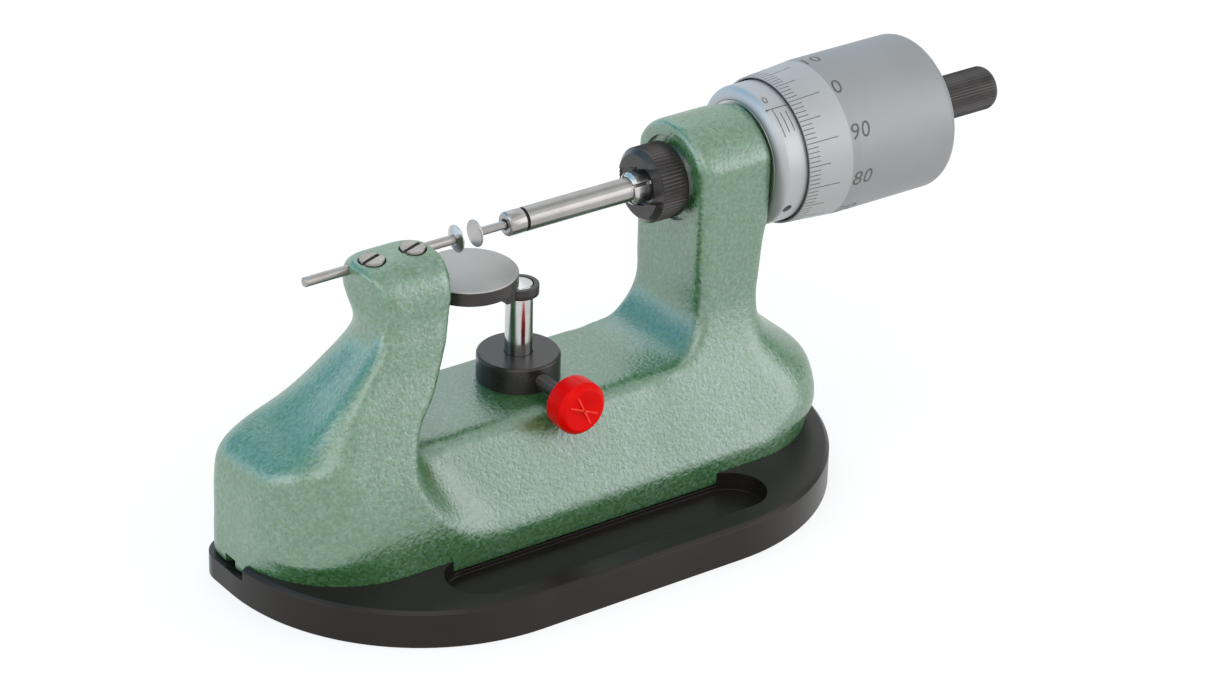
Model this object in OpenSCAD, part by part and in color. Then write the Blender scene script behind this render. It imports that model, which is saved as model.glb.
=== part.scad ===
// Small bench micrometer: a cast U frame on a base plate with a parts tray, a clamped disc anvil,
// a large-drum measuring head and a height-adjustable work table on a post.
// X runs along the measuring axis towards the drum, the front is -Y, Z is up.
// The origin lies under the measuring axis on the underside of the base plate.

/* [Base plate] */
// Length of the base plate
base_l = 102; // [92:1:114]
// Reach of the plate in front of the measuring axis
base_front = 33; // [30:0.5:38]
// Thickness of the plate
base_t = 6; // [5.5:0.5:8]
// Rim of the plate around the casting
base_rim = 0.8; // [0.6:0.1:1.2]
// Depth to which the casting is let into the plate
base_inset = 2.3; // [1.6:0.1:2.6]
// Chamfer along the front edge of the plate
base_chamfer = 0.6; // [0.3:0.1:1]
// Length of the parts tray
tray_l = 56.2; // [44:0.2:60]
// Width of the parts tray
tray_w = 11; // [9:0.2:12]
// Depth of the parts tray
tray_depth = 3; // [2.4:0.2:4]
// Wall left in front of the tray
tray_lip = 3.9; // [3:0.1:5]
// Reach of the open left end of the plate's rim in front of the axis
notch_front = 3; // [1.6:0.2:5]

/* [Casting] */
// Height of the measuring axis above the underside
axis_h = 47.8; // [45:0.2:52]
// Reach of the casting's foot in front of the axis
cast_front = 18.2; // [16:0.2:20]
// Flat back of the casting behind the axis
cast_back = 9; // [9:0.2:12]
// Radius of the foot's rear corners
cast_corner = 4; // [2:0.5:6]
// Height of the upright skirt round the foot
skirt_h = 5.3; // [4:0.1:6]
// Height of the bridge between the uprights, above the skirt
bridge_rise = 12.8; // [11:0.2:14]
// Reach of the bridge's flat top in front of the axis
bridge_front = 11.3; // [10:0.1:12]
// Fillet between the bridge and the head upright
bridge_fillet = 8; // [4:0.5:9]
// Width of the slot in the left end of the casting's foot
foot_slot_w = 2.8; // [2:0.2:4]

/* [Anvil upright] */
// Left face of the anvil upright
post_x0 = -31.5; // [-34:0.5:-29]
// Length of the anvil upright's top along the axis
post_l = 14; // [13:0.2:14.2]
// Radius of the upright's crown
post_r = 8; // [7:0.2:9]
// Height of the crown above the axis
post_rise = 1.7; // [1.4:0.1:2.2]
// Offset of the upright's middle from the axis, so that the screws stand beside the rod
post_y = -1.2; // [-2:0.1:-0.4]

/* [Head upright] */
// Left face of the head upright
head_x0 = 26.6; // [25:0.2:30]
// Length of the head upright along the axis
head_l = 13.2; // [12:0.2:16]
// Radius of the head upright's crown about the axis
head_r = 8.9; // [8:0.1:9]

/* [Anvil] */
// Diameter of the anvil rod
rod_d = 1.5; // [1.2:0.1:2]
// Left end of the anvil rod
rod_x0 = -38; // [-42:0.5:-35]
// Diameter of the two measuring discs
disc_d = 4.2; // [3:0.1:5]
// Thickness of the two measuring discs
disc_t = 0.7; // [0.5:0.1:1]
// Measuring face of the anvil
anvil_face = -11.7; // [-13:0.1:-10]
// Head diameter of the anvil's clamp screws
pinch_head_d = 3.8; // [3.2:0.1:4]
// Distance of the clamp screws in front of the rod
pinch_y = 2; // [1.9:0.1:2.2]
// Distance between the two clamp screws
pinch_pitch = 7; // [5:0.1:8]

/* [Spindle] */
// Opening between the discs at rest
opening = 3; // [1:0.5:6]
// Diameter of the spindle
spindle_d = 3.75; // [3:0.05:4.2]
// Length of the tip collar
tip_l = 2.9; // [2:0.1:4]
// Diameter of the stem that carries the moving disc
stem_d = 1.3; // [1:0.1:1.8]
// Diameter of the screw on the spindle
screw_d = 6; // [5:0.2:7]

/* [Lock nut] */
// Diameter of the lock nut
nut_d = 11.8; // [11:0.1:13]
// Length of the lock nut
nut_l = 5.9; // [5:0.1:7]
// Diameter of the collet nose
collet_d = 5; // [4.8:0.1:5.6]
// Diameter of the thread under the lock nut
collar_d = 8; // [7:0.2:8.6]

/* [Measuring head] */
// Diameter of the barrel in the head upright
barrel_d = 9.6; // [9:0.1:11]
// Diameter of the graduated sleeve
sleeve_d = 22; // [20:0.2:23]
// Wall of the graduated sleeve
sleeve_wall = 2; // [1.2:0.1:2.5]
// Length of the graduated sleeve
sleeve_l = 20; // [17:0.5:22]
// Radial gap between the drum and the sleeve
drum_run = 0.25; // [0.15:0.05:0.4]
// Wall of the drum at its front edge
drum_edge_t = 0.3; // [0.25:0.05:0.6]
// Growth of the drum's diameter over its cone
drum_swell = 1.5; // [0.9:0.1:3]
// Length of sleeve that shows in front of the drum at rest
drum_gap = 4.7; // [4:0.1:5.4]
// Length of the drum's graduated cone
cone_l = 9.3; // [7:0.1:12]
// Length of the drum
drum_l = 28.6; // [28.4:0.1:33]
// Diameter of the friction knob
knob_d = 7; // [6.6:0.1:9]
// Length of the friction knob
knob_l = 15.4; // [13:0.2:19]

/* [Work table] */
// Place of the table's post along the axis
table_post_x = -0.5; // [-1:0.1:0.5]
// Diameter of the post
table_post_d = 4.25; // [3.6:0.05:4.4]
// Height of the post's top above the bush
table_post_h = 11.4; // [11:0.1:12]
// Diameter of the bush
bush_d = 12.8; // [11:0.2:14]
// Height of the bush above the bridge
bush_h = 4.2; // [4:0.1:5]
// Diameter of the table
table_d = 14.9; // [12:0.1:15]
// Thickness of the table
table_t = 2.4; // [1.8:0.05:2.6]
// Distance of the table's middle from its post
table_reach = 9.6; // [9:0.1:9.7]
// Angle by which the table is swung to the front at rest
table_swing = 4; // [-10:1:10]
// Rise of the table's underside above the top of the post
table_rise = 2.65; // [2.4:0.05:2.8]
// Outer diameter of the arm's eye
eye_d = 6; // [5.8:0.1:7]
// Thickness of the arm's eye
eye_t = 1.6; // [1.2:0.1:2.2]
// Diameter of the clamp screw
clamp_d = 2.4; // [2:0.1:2.8]
// Diameter of the clamp knob
clamp_knob_d = 8.4; // [7.5:0.1:8.6]
// Length of the clamp knob
clamp_knob_l = 5; // [4:0.1:7]
// Distance of the clamp knob's rear face from the axis
clamp_knob_y = 12.5; // [12.4:0.1:15]

/* [Hidden] */
$fn = 96;

// Radial clearance of shafts that turn or slide
run = 0.04;
// Gap under a screw head or beside a face that is only just free
touch = 0.05;
// Overlap used where one cut runs out of another
over = 1;

// Heights of the base plate and the casting
seat_z = base_t - base_inset;
skirt_top = seat_z + skirt_h;
bridge_top = skirt_top + bridge_rise;
cast_half = base_l / 2 - base_rim;
post_x1 = post_x0 + post_l;
post_top = axis_h + post_rise;
head_x1 = head_x0 + head_l;
tray_y = -base_front + tray_lip + tray_w / 2;

// Places along the measuring axis
tip_face = anvil_face + opening;
collar_x0 = tip_face + 5.4;
groove_l = 0.5;
nut_x0 = head_x0 - nut_l;
collet_x0 = nut_x0 - 1.9;
nut_lip = 1.3;
sleeve_x0 = head_x1 + touch;
core_d = sleeve_d - 2 * sleeve_wall - 2 * run;
core_l = sleeve_l + 2.2;
drum_x0 = sleeve_x0 + drum_gap;
drum_x1 = drum_x0 + drum_l;
drum_bore = sleeve_d + 2 * drum_run;
drum_edge_d = drum_bore + 2 * drum_edge_t;
drum_d = drum_edge_d + drum_swell;
drum_round = 2;
hub_l = 5;
hub_wall = 3;
hub_taper = 0.6;
hub_taper_l = 3;
hub_x0 = drum_x1 - hub_l;
screw_x0 = head_x1 + 7;
thread_x0 = head_x1 + 2;
adjust_l = 3;
adjust_d = 12;
stub_d = 3;
knob_x0 = drum_x1 + touch;
knob_x1 = knob_x0 + knob_l;
knob_floor = 3;
knob_cap = 2.6;
pocket_d = 4.8;
knob_screw_d = 1.4;
knob_screw_l = 4;
knob_screw_sunk = 1;

// Places on the work table
bush_top = bridge_top + bush_h;
post_top_z = bush_top + table_post_h;
table_z = post_top_z + table_rise;
spigot_d = 9;
spigot_l = 7;
table_post_l = 20.4;
clamp_z = bridge_top + bush_h / 2 - 0.2;
arm_t = 1.7;
arm_w = 4.4;
arm_pad_d = 8;
arm_step = 1;
arm_room = 0.3;
arm_lap = 0.5;
table_screw_d = 2;
table_screw_head = 3.2;
table_screw_head_h = 0.8;
table_screw_reach = 1.4;
table_screw_slot = 0.4;

// Screws of the anvil clamp and of the base
pinch_d = 1.8;
pinch_head_h = 1.2;
pinch_seat = axis_h + rod_d / 2 + touch;
pinch_l = 6;
pinch_x = (post_x0 + post_x1) / 2 + 0.3;
base_screw_d = 3;
base_screw_head = 5.6;
base_screw_l = 9;
base_screw_y = -3;
base_screw_inset = 13;
base_screw_sunk = 0.4;
base_screw_land = 0.8;
base_screw_sink = 2.2;
base_screw_room = 0.2;
base_screw_slot = 0.8;

// Points of an arc in the plane
function arc(cx, cy, r, a0, a1, n) = [
    for (i = [0:n]) let (a = a0 + (a1 - a0) * i / n) [cx + r * cos(a), cy + r * sin(a)]
];

// Smooth curve through the stations [t, value]
function station(p, t, i = 0) = i >= len(p) - 2 || t <= p[i + 1][0] ? i : station(p, t, i + 1);
function slope(p, i) = let (
    a = p[max(i - 1, 0)],
    b = p[min(i + 1, len(p) - 1)]
) (b[1] - a[1]) / (b[0] - a[0]);
function along(p, t) = let (
    i = station(p, t),
    h = p[i + 1][0] - p[i][0],
    u = min(1, max(0, (t - p[i][0]) / h))
) p[i][1] * (1 + 2 * u) * (1 - u) * (1 - u) + p[i + 1][1] * u * u * (3 - 2 * u)
    + h * u * (1 - u) * (slope(p, i) * (1 - u) - slope(p, i + 1) * u);
function mix(a, b, s) = a + (b - a) * s;

// Level section with its own radius at each corner: front right, rear right, rear left, front left;
// lean shifts the front left corner to the right
corner_steps = 4;
function section(x0, x1, y0, y1, r, z, lean = 0) = [
    for (p = concat(
        arc(x1 - r[0], y0 + r[0], r[0], -90, 0, corner_steps),
        arc(x1 - r[1], y1 - r[1], r[1], 0, 90, corner_steps),
        arc(x0 + r[2], y1 - r[2], r[2], 90, 180, corner_steps),
        arc(x0 + lean + r[3], y0 + r[3], r[3], 180, 270, corner_steps)
    )) [p[0], p[1], z]
];

// Solid through a stack of level sections with the same number of points
module loft(sections) {
    n = len(sections[0]);
    m = len(sections);
    sides = [
        for (j = [0:m - 2], i = [0:n - 1]) let (k = (i + 1) % n, a = j * n, b = (j + 1) * n)
            each [[a + i, b + i, b + k], [a + i, b + k, a + k]]
    ];
    bottom = [[for (i = [0:n - 1]) i]];
    top = [[for (i = [0:n - 1]) m * n - 1 - i]];
    polyhedron([for (s = sections) each s], concat(bottom, sides, top));
}

// How far a rounded top edge has drawn in at height z
function drawn_in(z, top, r) = z > top - r ? r - sqrt(max(0, r * r - pow(z - top + r, 2))) : 0;
// How far a fillet on a flat at height floor still reaches out at height z
function fillet_out(z, floor, r) = let (
    h = min(max(z - floor, 0), r)
) r - sqrt(max(0, r * r - pow(r - h, 2)));
// Half width of a round crown at height z; a power above two makes the crown flatter
function crown(z, top, r, p = 2) = z > top - r ? r * pow(max(0, 1 - pow((z - top + r) / r, p)), 1 / p) : r;

// Turns a solid that was drawn along Z so that it lies on the measuring axis
module on_axis(x = 0) {
    translate([x, 0, axis_h])
        rotate([0, 90, 0])
            children();
}

// Cylinder on the measuring axis
module axle(x0, x1, d) {
    on_axis(x0)
        cylinder(d = d, h = x1 - x0);
}

// Outline with round front corners and a flat back
module foot_outline(half_l, front, back, corner) {
    intersection() {
        union() {
            for (side = [-1, 1])
                translate([side * (half_l - front), 0])
                    circle(r = front);
            translate([front - half_l, -front])
                square([2 * (half_l - front), 2 * front]);
        }
        translate([-half_l, -front])
            square([2 * half_l, front]);
    }
    translate([-half_l, 0])
        square([2 * half_l, back - corner]);
    translate([corner - half_l, 0])
        square([2 * (half_l - corner), back]);
    for (side = [-1, 1])
        translate([side * (half_l - corner), back - corner])
            circle(r = corner);
}

// Base plate

// Chamfered front of the plate: two quarter turns and a straight run between them
module plate_front() {
    profile = [
        [0, 0], [base_front, 0], [base_front, base_t - base_chamfer],
        [base_front - base_chamfer, base_t], [0, base_t]
    ];
    straight = base_l / 2 - base_front;
    for (side = [-1, 1])
        translate([side * straight, 0, 0])
            rotate([0, 0, side < 0 ? 180 : 270])
                rotate_extrude(angle = 90)
                    polygon(profile);
    translate([-straight, 0, 0])
        rotate([90, 0, 90])
            mirror([1, 0, 0])
                linear_extrude(2 * straight)
                    polygon(profile);
}

module plate_rear() {
    linear_extrude(base_t)
        intersection() {
            foot_outline(base_l / 2, base_front, cast_back + base_rim, cast_corner + base_rim);
            translate([-base_l, 0])
                square([2 * base_l, base_front]);
        }
}

// Slot with round ends for loose parts, in front of the casting
module tray_slot() {
    run_l = tray_l - tray_w;
    translate([0, tray_y, base_t - tray_depth]) {
        for (side = [-1, 1])
            translate([side * run_l / 2, 0, 0])
                cylinder(d = tray_w, h = tray_depth + over);
        translate([-run_l / 2, -tray_w / 2, 0])
            cube([run_l, tray_w, tray_depth + over]);
    }
}

module base_screw_places() {
    for (x = [base_screw_inset - cast_half, cast_half - base_screw_inset])
        translate([x, base_screw_y, 0])
            children();
}

module base_plate() {
    color("#26262a")
        difference() {
            union() {
                plate_front();
                plate_rear();
            }
            translate([0, 0, seat_z])
                linear_extrude(base_inset + over)
                    foot_outline(cast_half + touch, cast_front + touch, cast_back + touch, cast_corner);
            tray_slot();
            translate([-base_l / 2 - over, -notch_front, seat_z])
                cube([over + 6, notch_front + cast_back + base_rim + over, base_inset + over]);
            base_screw_places() {
                translate([0, 0, -over])
                    cylinder(d = base_screw_d + 2 * base_screw_room, h = base_t + 2 * over);
                rotate_extrude()
                    polygon([[0, -over], [base_screw_head / 2 + base_screw_room, -over],
                        [base_screw_head / 2 + base_screw_room, base_screw_land],
                        [base_screw_d / 2 + base_screw_room, base_screw_sink], [0, base_screw_sink]]);
            }
        }
}

// Countersunk screws that hold the casting from below
module base_screws() {
    color("#8a8c90")
        base_screw_places()
            difference() {
                rotate_extrude()
                    polygon([[0, base_screw_sunk], [base_screw_head / 2, base_screw_sunk],
                        [base_screw_head / 2, base_screw_land], [base_screw_d / 2, base_screw_sink],
                        [base_screw_d / 2, base_screw_l], [0, base_screw_l]]);
                translate([-base_screw_head / 2, -base_screw_slot / 2, 0])
                    cube([base_screw_head, base_screw_slot, base_screw_sunk + base_screw_slot]);
            }
}

// Frame casting

// Sloping flank of the bridge: distance in front of the axis at height z
function flank(z) = mix(cast_front - 0.6, bridge_front, (z - skirt_top) / bridge_rise);

// Swan-necked upright that grows out of the left end of the foot
left_share = [
    [0, 0], [0.27, 0], [0.335, 0.047], [0.387, 0.175], [0.438, 0.395], [0.49, 0.554], [0.54, 0.67],
    [0.593, 0.776], [0.644, 0.885], [0.696, 0.982], [0.747, 1.053], [0.8, 1.076], [0.86, 1.052],
    [0.93, 1.041], [0.98, 1.035], [1.05, 1]
];
// How far the front end of the left face stands to the right of its rear end
left_lean = [
    [0, 0], [0.3, 0], [0.38, -1.2], [0.46, -2.6], [0.54, -2.8], [0.62, -2], [0.68, -2], [0.74, -1.5],
    [0.8, -0.5], [0.86, 0.7], [0.93, 1], [0.99, 0.6], [1.05, 0.3]
];
right_offset = [
    [0, 1.5], [0.055, -2.6], [0.15, -6.6], [0.235, -8.9], [0.31, -9.9], [0.395, -9.5], [0.465, -8.4],
    [0.54, -6.1], [0.64, -3.7], [0.74, -2], [0.83, -0.8], [0.91, -0.3], [1.05, 0]
];
front_share = [
    [0, 0], [0.1, 0.03], [0.27, 0.19], [0.41, 0.39], [0.54, 0.59], [0.66, 0.78],
    [0.75, 0.88], [0.85, 1], [1.05, 1]
];
back_share = [[0, 0], [0.3, 0.05], [0.5, 0.4], [0.7, 0.85], [0.85, 1], [1.05, 1]];
outer_share = [
    [0, 0], [0.23, 0.22], [0.31, 0.42], [0.41, 0.65], [0.49, 0.79], [0.57, 0.89], [0.7, 0.953], [0.8, 0.976],
    [0.93, 1], [1.05, 1]
];
rear_share = [
    [0, 0], [0.28, 0.12], [0.39, 0.31], [0.49, 0.5], [0.57, 0.62], [0.65, 0.68], [0.74, 0.68], [0.81, 0.58],
    [0.88, 0.34], [0.96, 0.12], [1.05, 0.1]
];
post_edge = 1.2;
post_inner_edge = 1.5;
post_rear_edge = 12;
post_top_edge = 0.9;
post_back = 5.5;

function post_section(z) = let (
    t = (z - skirt_top) / (axis_h - skirt_top),
    half = crown(z, post_top, post_r, 2.6),
    draw = drawn_in(z, post_top, post_top_edge),
    x0 = mix(-cast_half, post_x0, along(left_share, t)) + draw,
    x1 = post_x1 + along(right_offset, t) - draw,
    y0 = -mix(cast_front, post_r - post_y, along(front_share, t)) + post_r - half,
    rear_y = mix(cast_back - 0.1, post_back, along(back_share, t)),
    y1 = rear_y - (post_r - half) * (post_back - post_y) / post_r,
    limit = (y1 - y0) * 0.48,
    inner = min(post_inner_edge, limit) * half / post_r,
    outer = min(mix(cast_front, post_edge, along(outer_share, t)), limit) * half / post_r,
    rear = min(mix(cast_corner, post_rear_edge, along(rear_share, t)), 2 * limit - outer),
    corner = min(cast_corner, limit, x1 - x0 - rear - 0.1)
) section(x0, x1, y0, y1, [inner, corner, rear, outer], z, along(left_lean, t));

post_levels = 26;
module anvil_upright() {
    z0 = skirt_top - 0.4;
    z1 = post_top - 0.04;
    loft([for (i = [0:post_levels]) post_section(z0 + (z1 - z0) * sin(90 * i / post_levels))]);
}

// Bridge with sloping front flank
module bridge() {
    levels = [0, 0.35, 0.7, 0.86, 0.92, 0.97, 1];
    z0 = skirt_top - 0.4;
    loft([
        for (s = levels) let (z = mix(z0, bridge_top, s), draw = drawn_in(z, bridge_top, 2))
            section(-cast_half * 0.7, cast_half * 0.7, -flank(z) + draw, cast_back - 0.3 - draw / 2,
                [2, 2, 2, 2], z)
    ]);
}

// Upright that carries the measuring head, flared into the right end of the foot
head_right = [
    [0, 1], [0.077, 1], [0.137, 0.97], [0.178, 0.9], [0.224, 0.72], [0.278, 0.44], [0.33, 0.18],
    [0.374, 0.04],
    [0.412, -0.06], [0.48, -0.12], [0.55, -0.13], [0.67, -0.1], [0.75, -0.06], [0.83, 0], [1.3, 0]
];
head_front = [[0, 0], [0.16, 0.33], [0.33, 0.71], [0.44, 0.9], [0.54, 1], [1.3, 1]];
head_outer = [
    [0, 0], [0.13, 0.17], [0.23, 0.42], [0.335, 0.66], [0.44, 0.85], [0.54, 0.97],
    [0.8, 1], [1.3, 1]
];
head_edge = 1.6;

function head_section(z) = let (
    t = (z - skirt_top) / (axis_h - skirt_top),
    half = crown(z, axis_h + head_r, head_r),
    x1 = head_x1 + along(head_right, t) * (cast_half - 0.4 - head_x1),
    out = z < bridge_top ? bridge_fillet + 2 : fillet_out(z, bridge_top - 0.15, bridge_fillet),
    x0 = head_x0 - out,
    y0 = -mix(cast_front - 0.45, head_r, along(head_front, t)) + head_r - half,
    y1 = mix(cast_back - 0.2, head_r - 0.1, min(1, t)) - head_r + half,
    limit = (y1 - y0) * 0.48,
    outer = min(mix(cast_front - 0.5, head_edge, along(head_outer, t)), limit)
) section(x0, x1, y0, y1, [outer, min(cast_corner, limit), min(head_edge, limit), min(head_edge, limit)], z);

head_levels = 30;
module head_upright() {
    z0 = skirt_top - 0.4;
    z1 = axis_h + head_r - 0.05;
    loft([for (i = [0:head_levels]) head_section(z0 + (z1 - z0) * sin(90 * i / head_levels))]);
}

module frame_casting() {
    color("#7fa898")
        difference() {
            union() {
                translate([0, 0, seat_z])
                    linear_extrude(skirt_h)
                        foot_outline(cast_half, cast_front, cast_back, cast_corner);
                anvil_upright();
                bridge();
                head_upright();
            }
            axle(post_x0 - 4, post_x1 + 4, rod_d + 2 * run);
            for (side = [-1, 1])
                translate([pinch_x + side * pinch_pitch / 2, -pinch_y, 0]) {
                    translate([0, 0, pinch_seat - touch])
                        cylinder(d = pinch_head_d + 0.4, h = 6);
                    translate([0, 0, pinch_seat - pinch_l - touch])
                        cylinder(d = pinch_d + 2 * run, h = pinch_l + over);
                }
            axle(head_x0 - over, head_x1 + over, barrel_d);
            axle(head_x0 - over, head_x0 + 0.6, nut_d + 1.6);
            translate([table_post_x, 0, bridge_top - spigot_l])
                cylinder(d = spigot_d, h = spigot_l + over);
            translate([table_post_x, 0, seat_z + 1.6])
                cylinder(d = table_post_d + 0.8, h = bridge_top);
            translate([-cast_half - over, 1.35 - foot_slot_w / 2, seat_z - over])
                cube([over + 2.4, foot_slot_w, over + 1.7]);
            base_screw_places()
                cylinder(d = base_screw_d, h = base_screw_l + base_screw_slot);
        }
}

// Anvil

// Ground rod with a turned end that takes the disc
module anvil_rod() {
    color("#b9bbbe")
        on_axis(rod_x0)
            rotate_extrude()
                polygon([[0, 0], [rod_d / 2 - 0.15, 0], [rod_d / 2, 0.15],
                    [rod_d / 2, anvil_face - disc_t - rod_x0],
                    [0, anvil_face - disc_t - rod_x0]]);
}

// Disc with a ground face and a dished back
module disc(hub_d) {
    rotate_extrude()
        polygon([[0, 0], [disc_d / 2 - 0.1, 0], [disc_d / 2, 0.1], [disc_d / 2, disc_t * 0.35],
            [hub_d / 2 + 0.1, disc_t],
            [0, disc_t]]);
}

module anvil_disc() {
    color("#c6c8ca")
        translate([anvil_face, 0, axis_h])
            rotate([0, -90, 0])
                disc(rod_d);
}

// Slotted cheese-head screw whose head bears on the rod
module pinch_screw(x) {
    color("#a9abac")
        translate([x, -pinch_y, 0])
            difference() {
                union() {
                    translate([0, 0, pinch_seat])
                        cylinder(d = pinch_head_d, h = pinch_head_h);
                    translate([0, 0, pinch_seat - pinch_l + 0.4])
                        cylinder(d = pinch_d, h = pinch_l);
                }
                rotate([0, 0, 20])
                    translate([-pinch_head_d, -0.3, pinch_seat + pinch_head_h - 0.6])
                        cube([2 * pinch_head_d, 0.6, over]);
            }
}

module anvil_screw_left() {
    pinch_screw(pinch_x - pinch_pitch / 2);
}

module anvil_screw_right() {
    pinch_screw(pinch_x + pinch_pitch / 2);
}

// Spindle and its tip

module tip_disc() {
    color("#c6c8ca")
        on_axis(tip_face)
            disc(stem_d);
}

// Stem and collar that do not turn with the spindle
module spindle_tip() {
    color("#b4b6b9")
        difference() {
            union() {
                axle(tip_face + disc_t, collar_x0 + 0.5, stem_d);
                on_axis(collar_x0)
                    rotate_extrude()
                        polygon([[0, 0.4], [0.9, 0.4], [0.9, 0], [spindle_d / 2 - 0.2, 0],
                            [spindle_d / 2, 0.2],
                            [spindle_d / 2, tip_l], [0, tip_l]]);
            }
            axle(collar_x0 + tip_l - 1.4, collar_x0 + tip_l + over, 1.6 + 2 * run);
        }
}

// Spindle with its bearing journal and measuring screw
module spindle() {
    x0 = collar_x0 + tip_l - 1.2;
    x1 = hub_x0 + hub_taper_l;
    color("#aeb0b3")
        on_axis(x0)
            rotate_extrude()
                polygon([
                    [0, 0], [0.8, 0], [0.8, 1.2 + touch], [spindle_d / 2 - 0.35, 1.2 + touch],
                    [spindle_d / 2 - 0.35, 1.2 + groove_l], [spindle_d / 2, 1.2 + groove_l],
                    [spindle_d / 2, screw_x0 - x0], [screw_d / 2, screw_x0 - x0 + 0.6],
                    [screw_d / 2, hub_x0 - x0],
                    [screw_d / 2 - hub_taper, x1 - x0], [0, x1 - x0]
                ]);
}

// Lock nut that closes the collet on the spindle
module lock_nut() {
    color("#1f1f22")
        on_axis(nut_x0)
            difference() {
                rotate_extrude()
                    polygon([
                        [collet_d / 2 + 0.15, 0], [nut_d / 2 - 0.9, 0], [nut_d / 2, 0.9],
                        [nut_d / 2, nut_l - 0.5],
                        [nut_d / 2 - 0.4, nut_l - touch], [collar_d / 2 + run, nut_l - touch],
                        [collar_d / 2 + run, nut_lip],
                        [collet_d / 2 + 0.15, nut_lip]
                    ]);
                for (a = [0, 90])
                    rotate([0, 0, a + 30])
                        translate([-nut_d, -0.6, -over])
                            cube([2 * nut_d, 1.2, over + 0.9]);
            }
}

// Measuring head

// Barrel through the head upright: collet nose, thread for the lock nut, seat, and core inside the sleeve
module head_barrel() {
    nose = nut_x0 + nut_lip + 0.2 - collet_x0;
    back = sleeve_x0 + core_l - collet_x0;
    thread = thread_x0 - collet_x0;
    color("#a4a6a9")
        on_axis(collet_x0)
            difference() {
                rotate_extrude()
                    polygon([
                        [spindle_d / 2 + run, 0], [collet_d / 2 - 0.4, 0], [collet_d / 2, 0.5],
                        [collet_d / 2, nose],
                        [collar_d / 2, nose], [collar_d / 2, head_x0 - collet_x0],
                        [barrel_d / 2, head_x0 - collet_x0],
                        [barrel_d / 2, head_x1 - collet_x0], [core_d / 2, head_x1 - collet_x0],
                        [core_d / 2, back - 6],
                        [adjust_d / 2 - 1.4, back - 6], [adjust_d / 2 - 1.4, back], [screw_d / 2 + run, back],
                        [screw_d / 2 + run, thread], [spindle_d / 2 + run, thread]
                    ]);
                for (a = [0, 90])
                    rotate([0, 0, a])
                        translate([-collet_d, -0.25, -over])
                            cube([2 * collet_d, 0.5, over + nose - 0.6]);
            }
}

// Nut that takes up play in the measuring screw
module adjusting_nut() {
    x0 = sleeve_x0 + core_l - adjust_l - 0.4;
    color("#8e9093")
        difference() {
            axle(x0, x0 + adjust_l, adjust_d + 2);
            axle(x0 - over, x0 + adjust_l + over, adjust_d - 2.8);
            for (a = [0:90:270])
                on_axis(x0)
                    rotate([0, 0, a])
                        translate([adjust_d / 2 + 0.3, -0.6, -over])
                            cube([over, 1.2, adjust_l + 2 * over]);
        }
}

// Graduated sleeve, turned on the core to set zero with a pin spanner
module scale_sleeve() {
    color("#c3c6c9")
        difference() {
            on_axis(sleeve_x0)
                rotate_extrude()
                    polygon([
                        [core_d / 2 + run, 0], [sleeve_d / 2 - 0.5, 0], [sleeve_d / 2, 0.5],
                        [sleeve_d / 2, sleeve_l],
                        [core_d / 2 + run, sleeve_l]
                    ]);
            translate([sleeve_x0 + 2.1, 0, axis_h])
                rotate([119, 0, 0])
                    cylinder(d = 1.3, h = sleeve_d);
        }
}

// Drum with a graduated cone at its front edge
module drum() {
    color("#b9bcc0")
        on_axis(drum_x0)
            rotate_extrude()
                polygon(concat(
                    [[drum_bore / 2, 0], [drum_edge_d / 2, 0], [drum_d / 2, cone_l]],
                    arc(drum_d / 2 - drum_round, drum_l - drum_round, drum_round, 0, 90, 6),
                    [[screw_d / 2 + hub_wall, drum_l], [screw_d / 2 + hub_wall, drum_l - hub_l],
                    [drum_bore / 2, drum_l - hub_l]]
                ));
}

// Hub that clamps the drum on the spindle's taper and carries the friction knob
module drum_hub() {
    x1 = knob_x1 - knob_cap - knob_screw_sunk;
    color("#999b9e")
        on_axis(hub_x0)
            rotate_extrude()
                polygon([
                    [screw_d / 2, 0], [screw_d / 2 + hub_wall, 0], [screw_d / 2 + hub_wall, hub_l],
                    [stub_d / 2, hub_l], [stub_d / 2, x1 - hub_x0],
                    [knob_screw_d / 2, x1 - hub_x0], [knob_screw_d / 2, hub_l], [0, hub_l],
                    [0, hub_taper_l], [screw_d / 2 - hub_taper, hub_taper_l]
                ]);
}

// Knob that slips on the hub once the measuring force is reached
module friction_knob() {
    color("#1c1c1f")
        on_axis(knob_x0)
            rotate_extrude()
                polygon(concat(
                    [[stub_d / 2 + run, 0], [knob_d / 2 - 0.5, 0], [knob_d / 2, 0.5]],
                    arc(knob_d / 2 - 1, knob_l - 1, 1, 0, 90, 6),
                    [[pocket_d / 2, knob_l], [pocket_d / 2, knob_floor], [stub_d / 2 + run, knob_floor]]
                ));
}

// Spring inside the knob
module friction_spring() {
    x0 = knob_x0 + knob_floor + touch;
    x1 = knob_x1 - knob_cap - touch;
    color("#87898c")
        difference() {
            axle(x0, x1 - knob_screw_sunk, pocket_d - 0.5);
            axle(x0 - over, x1 + over, stub_d + 4 * run);
        }
}

// Screw that keeps the spring and the knob on the hub
module knob_screw() {
    x0 = knob_x1 - knob_cap - knob_screw_sunk;
    color("#77797c")
        difference() {
            union() {
                axle(x0, x0 + 1.6, pocket_d - 0.4);
                axle(x0 - knob_screw_l, x0 + 0.4, knob_screw_d);
            }
            on_axis(x0 + 1)
                translate([-pocket_d, -0.3, 0])
                    cube([2 * pocket_d, 0.6, over]);
        }
}

// Work table

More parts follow.
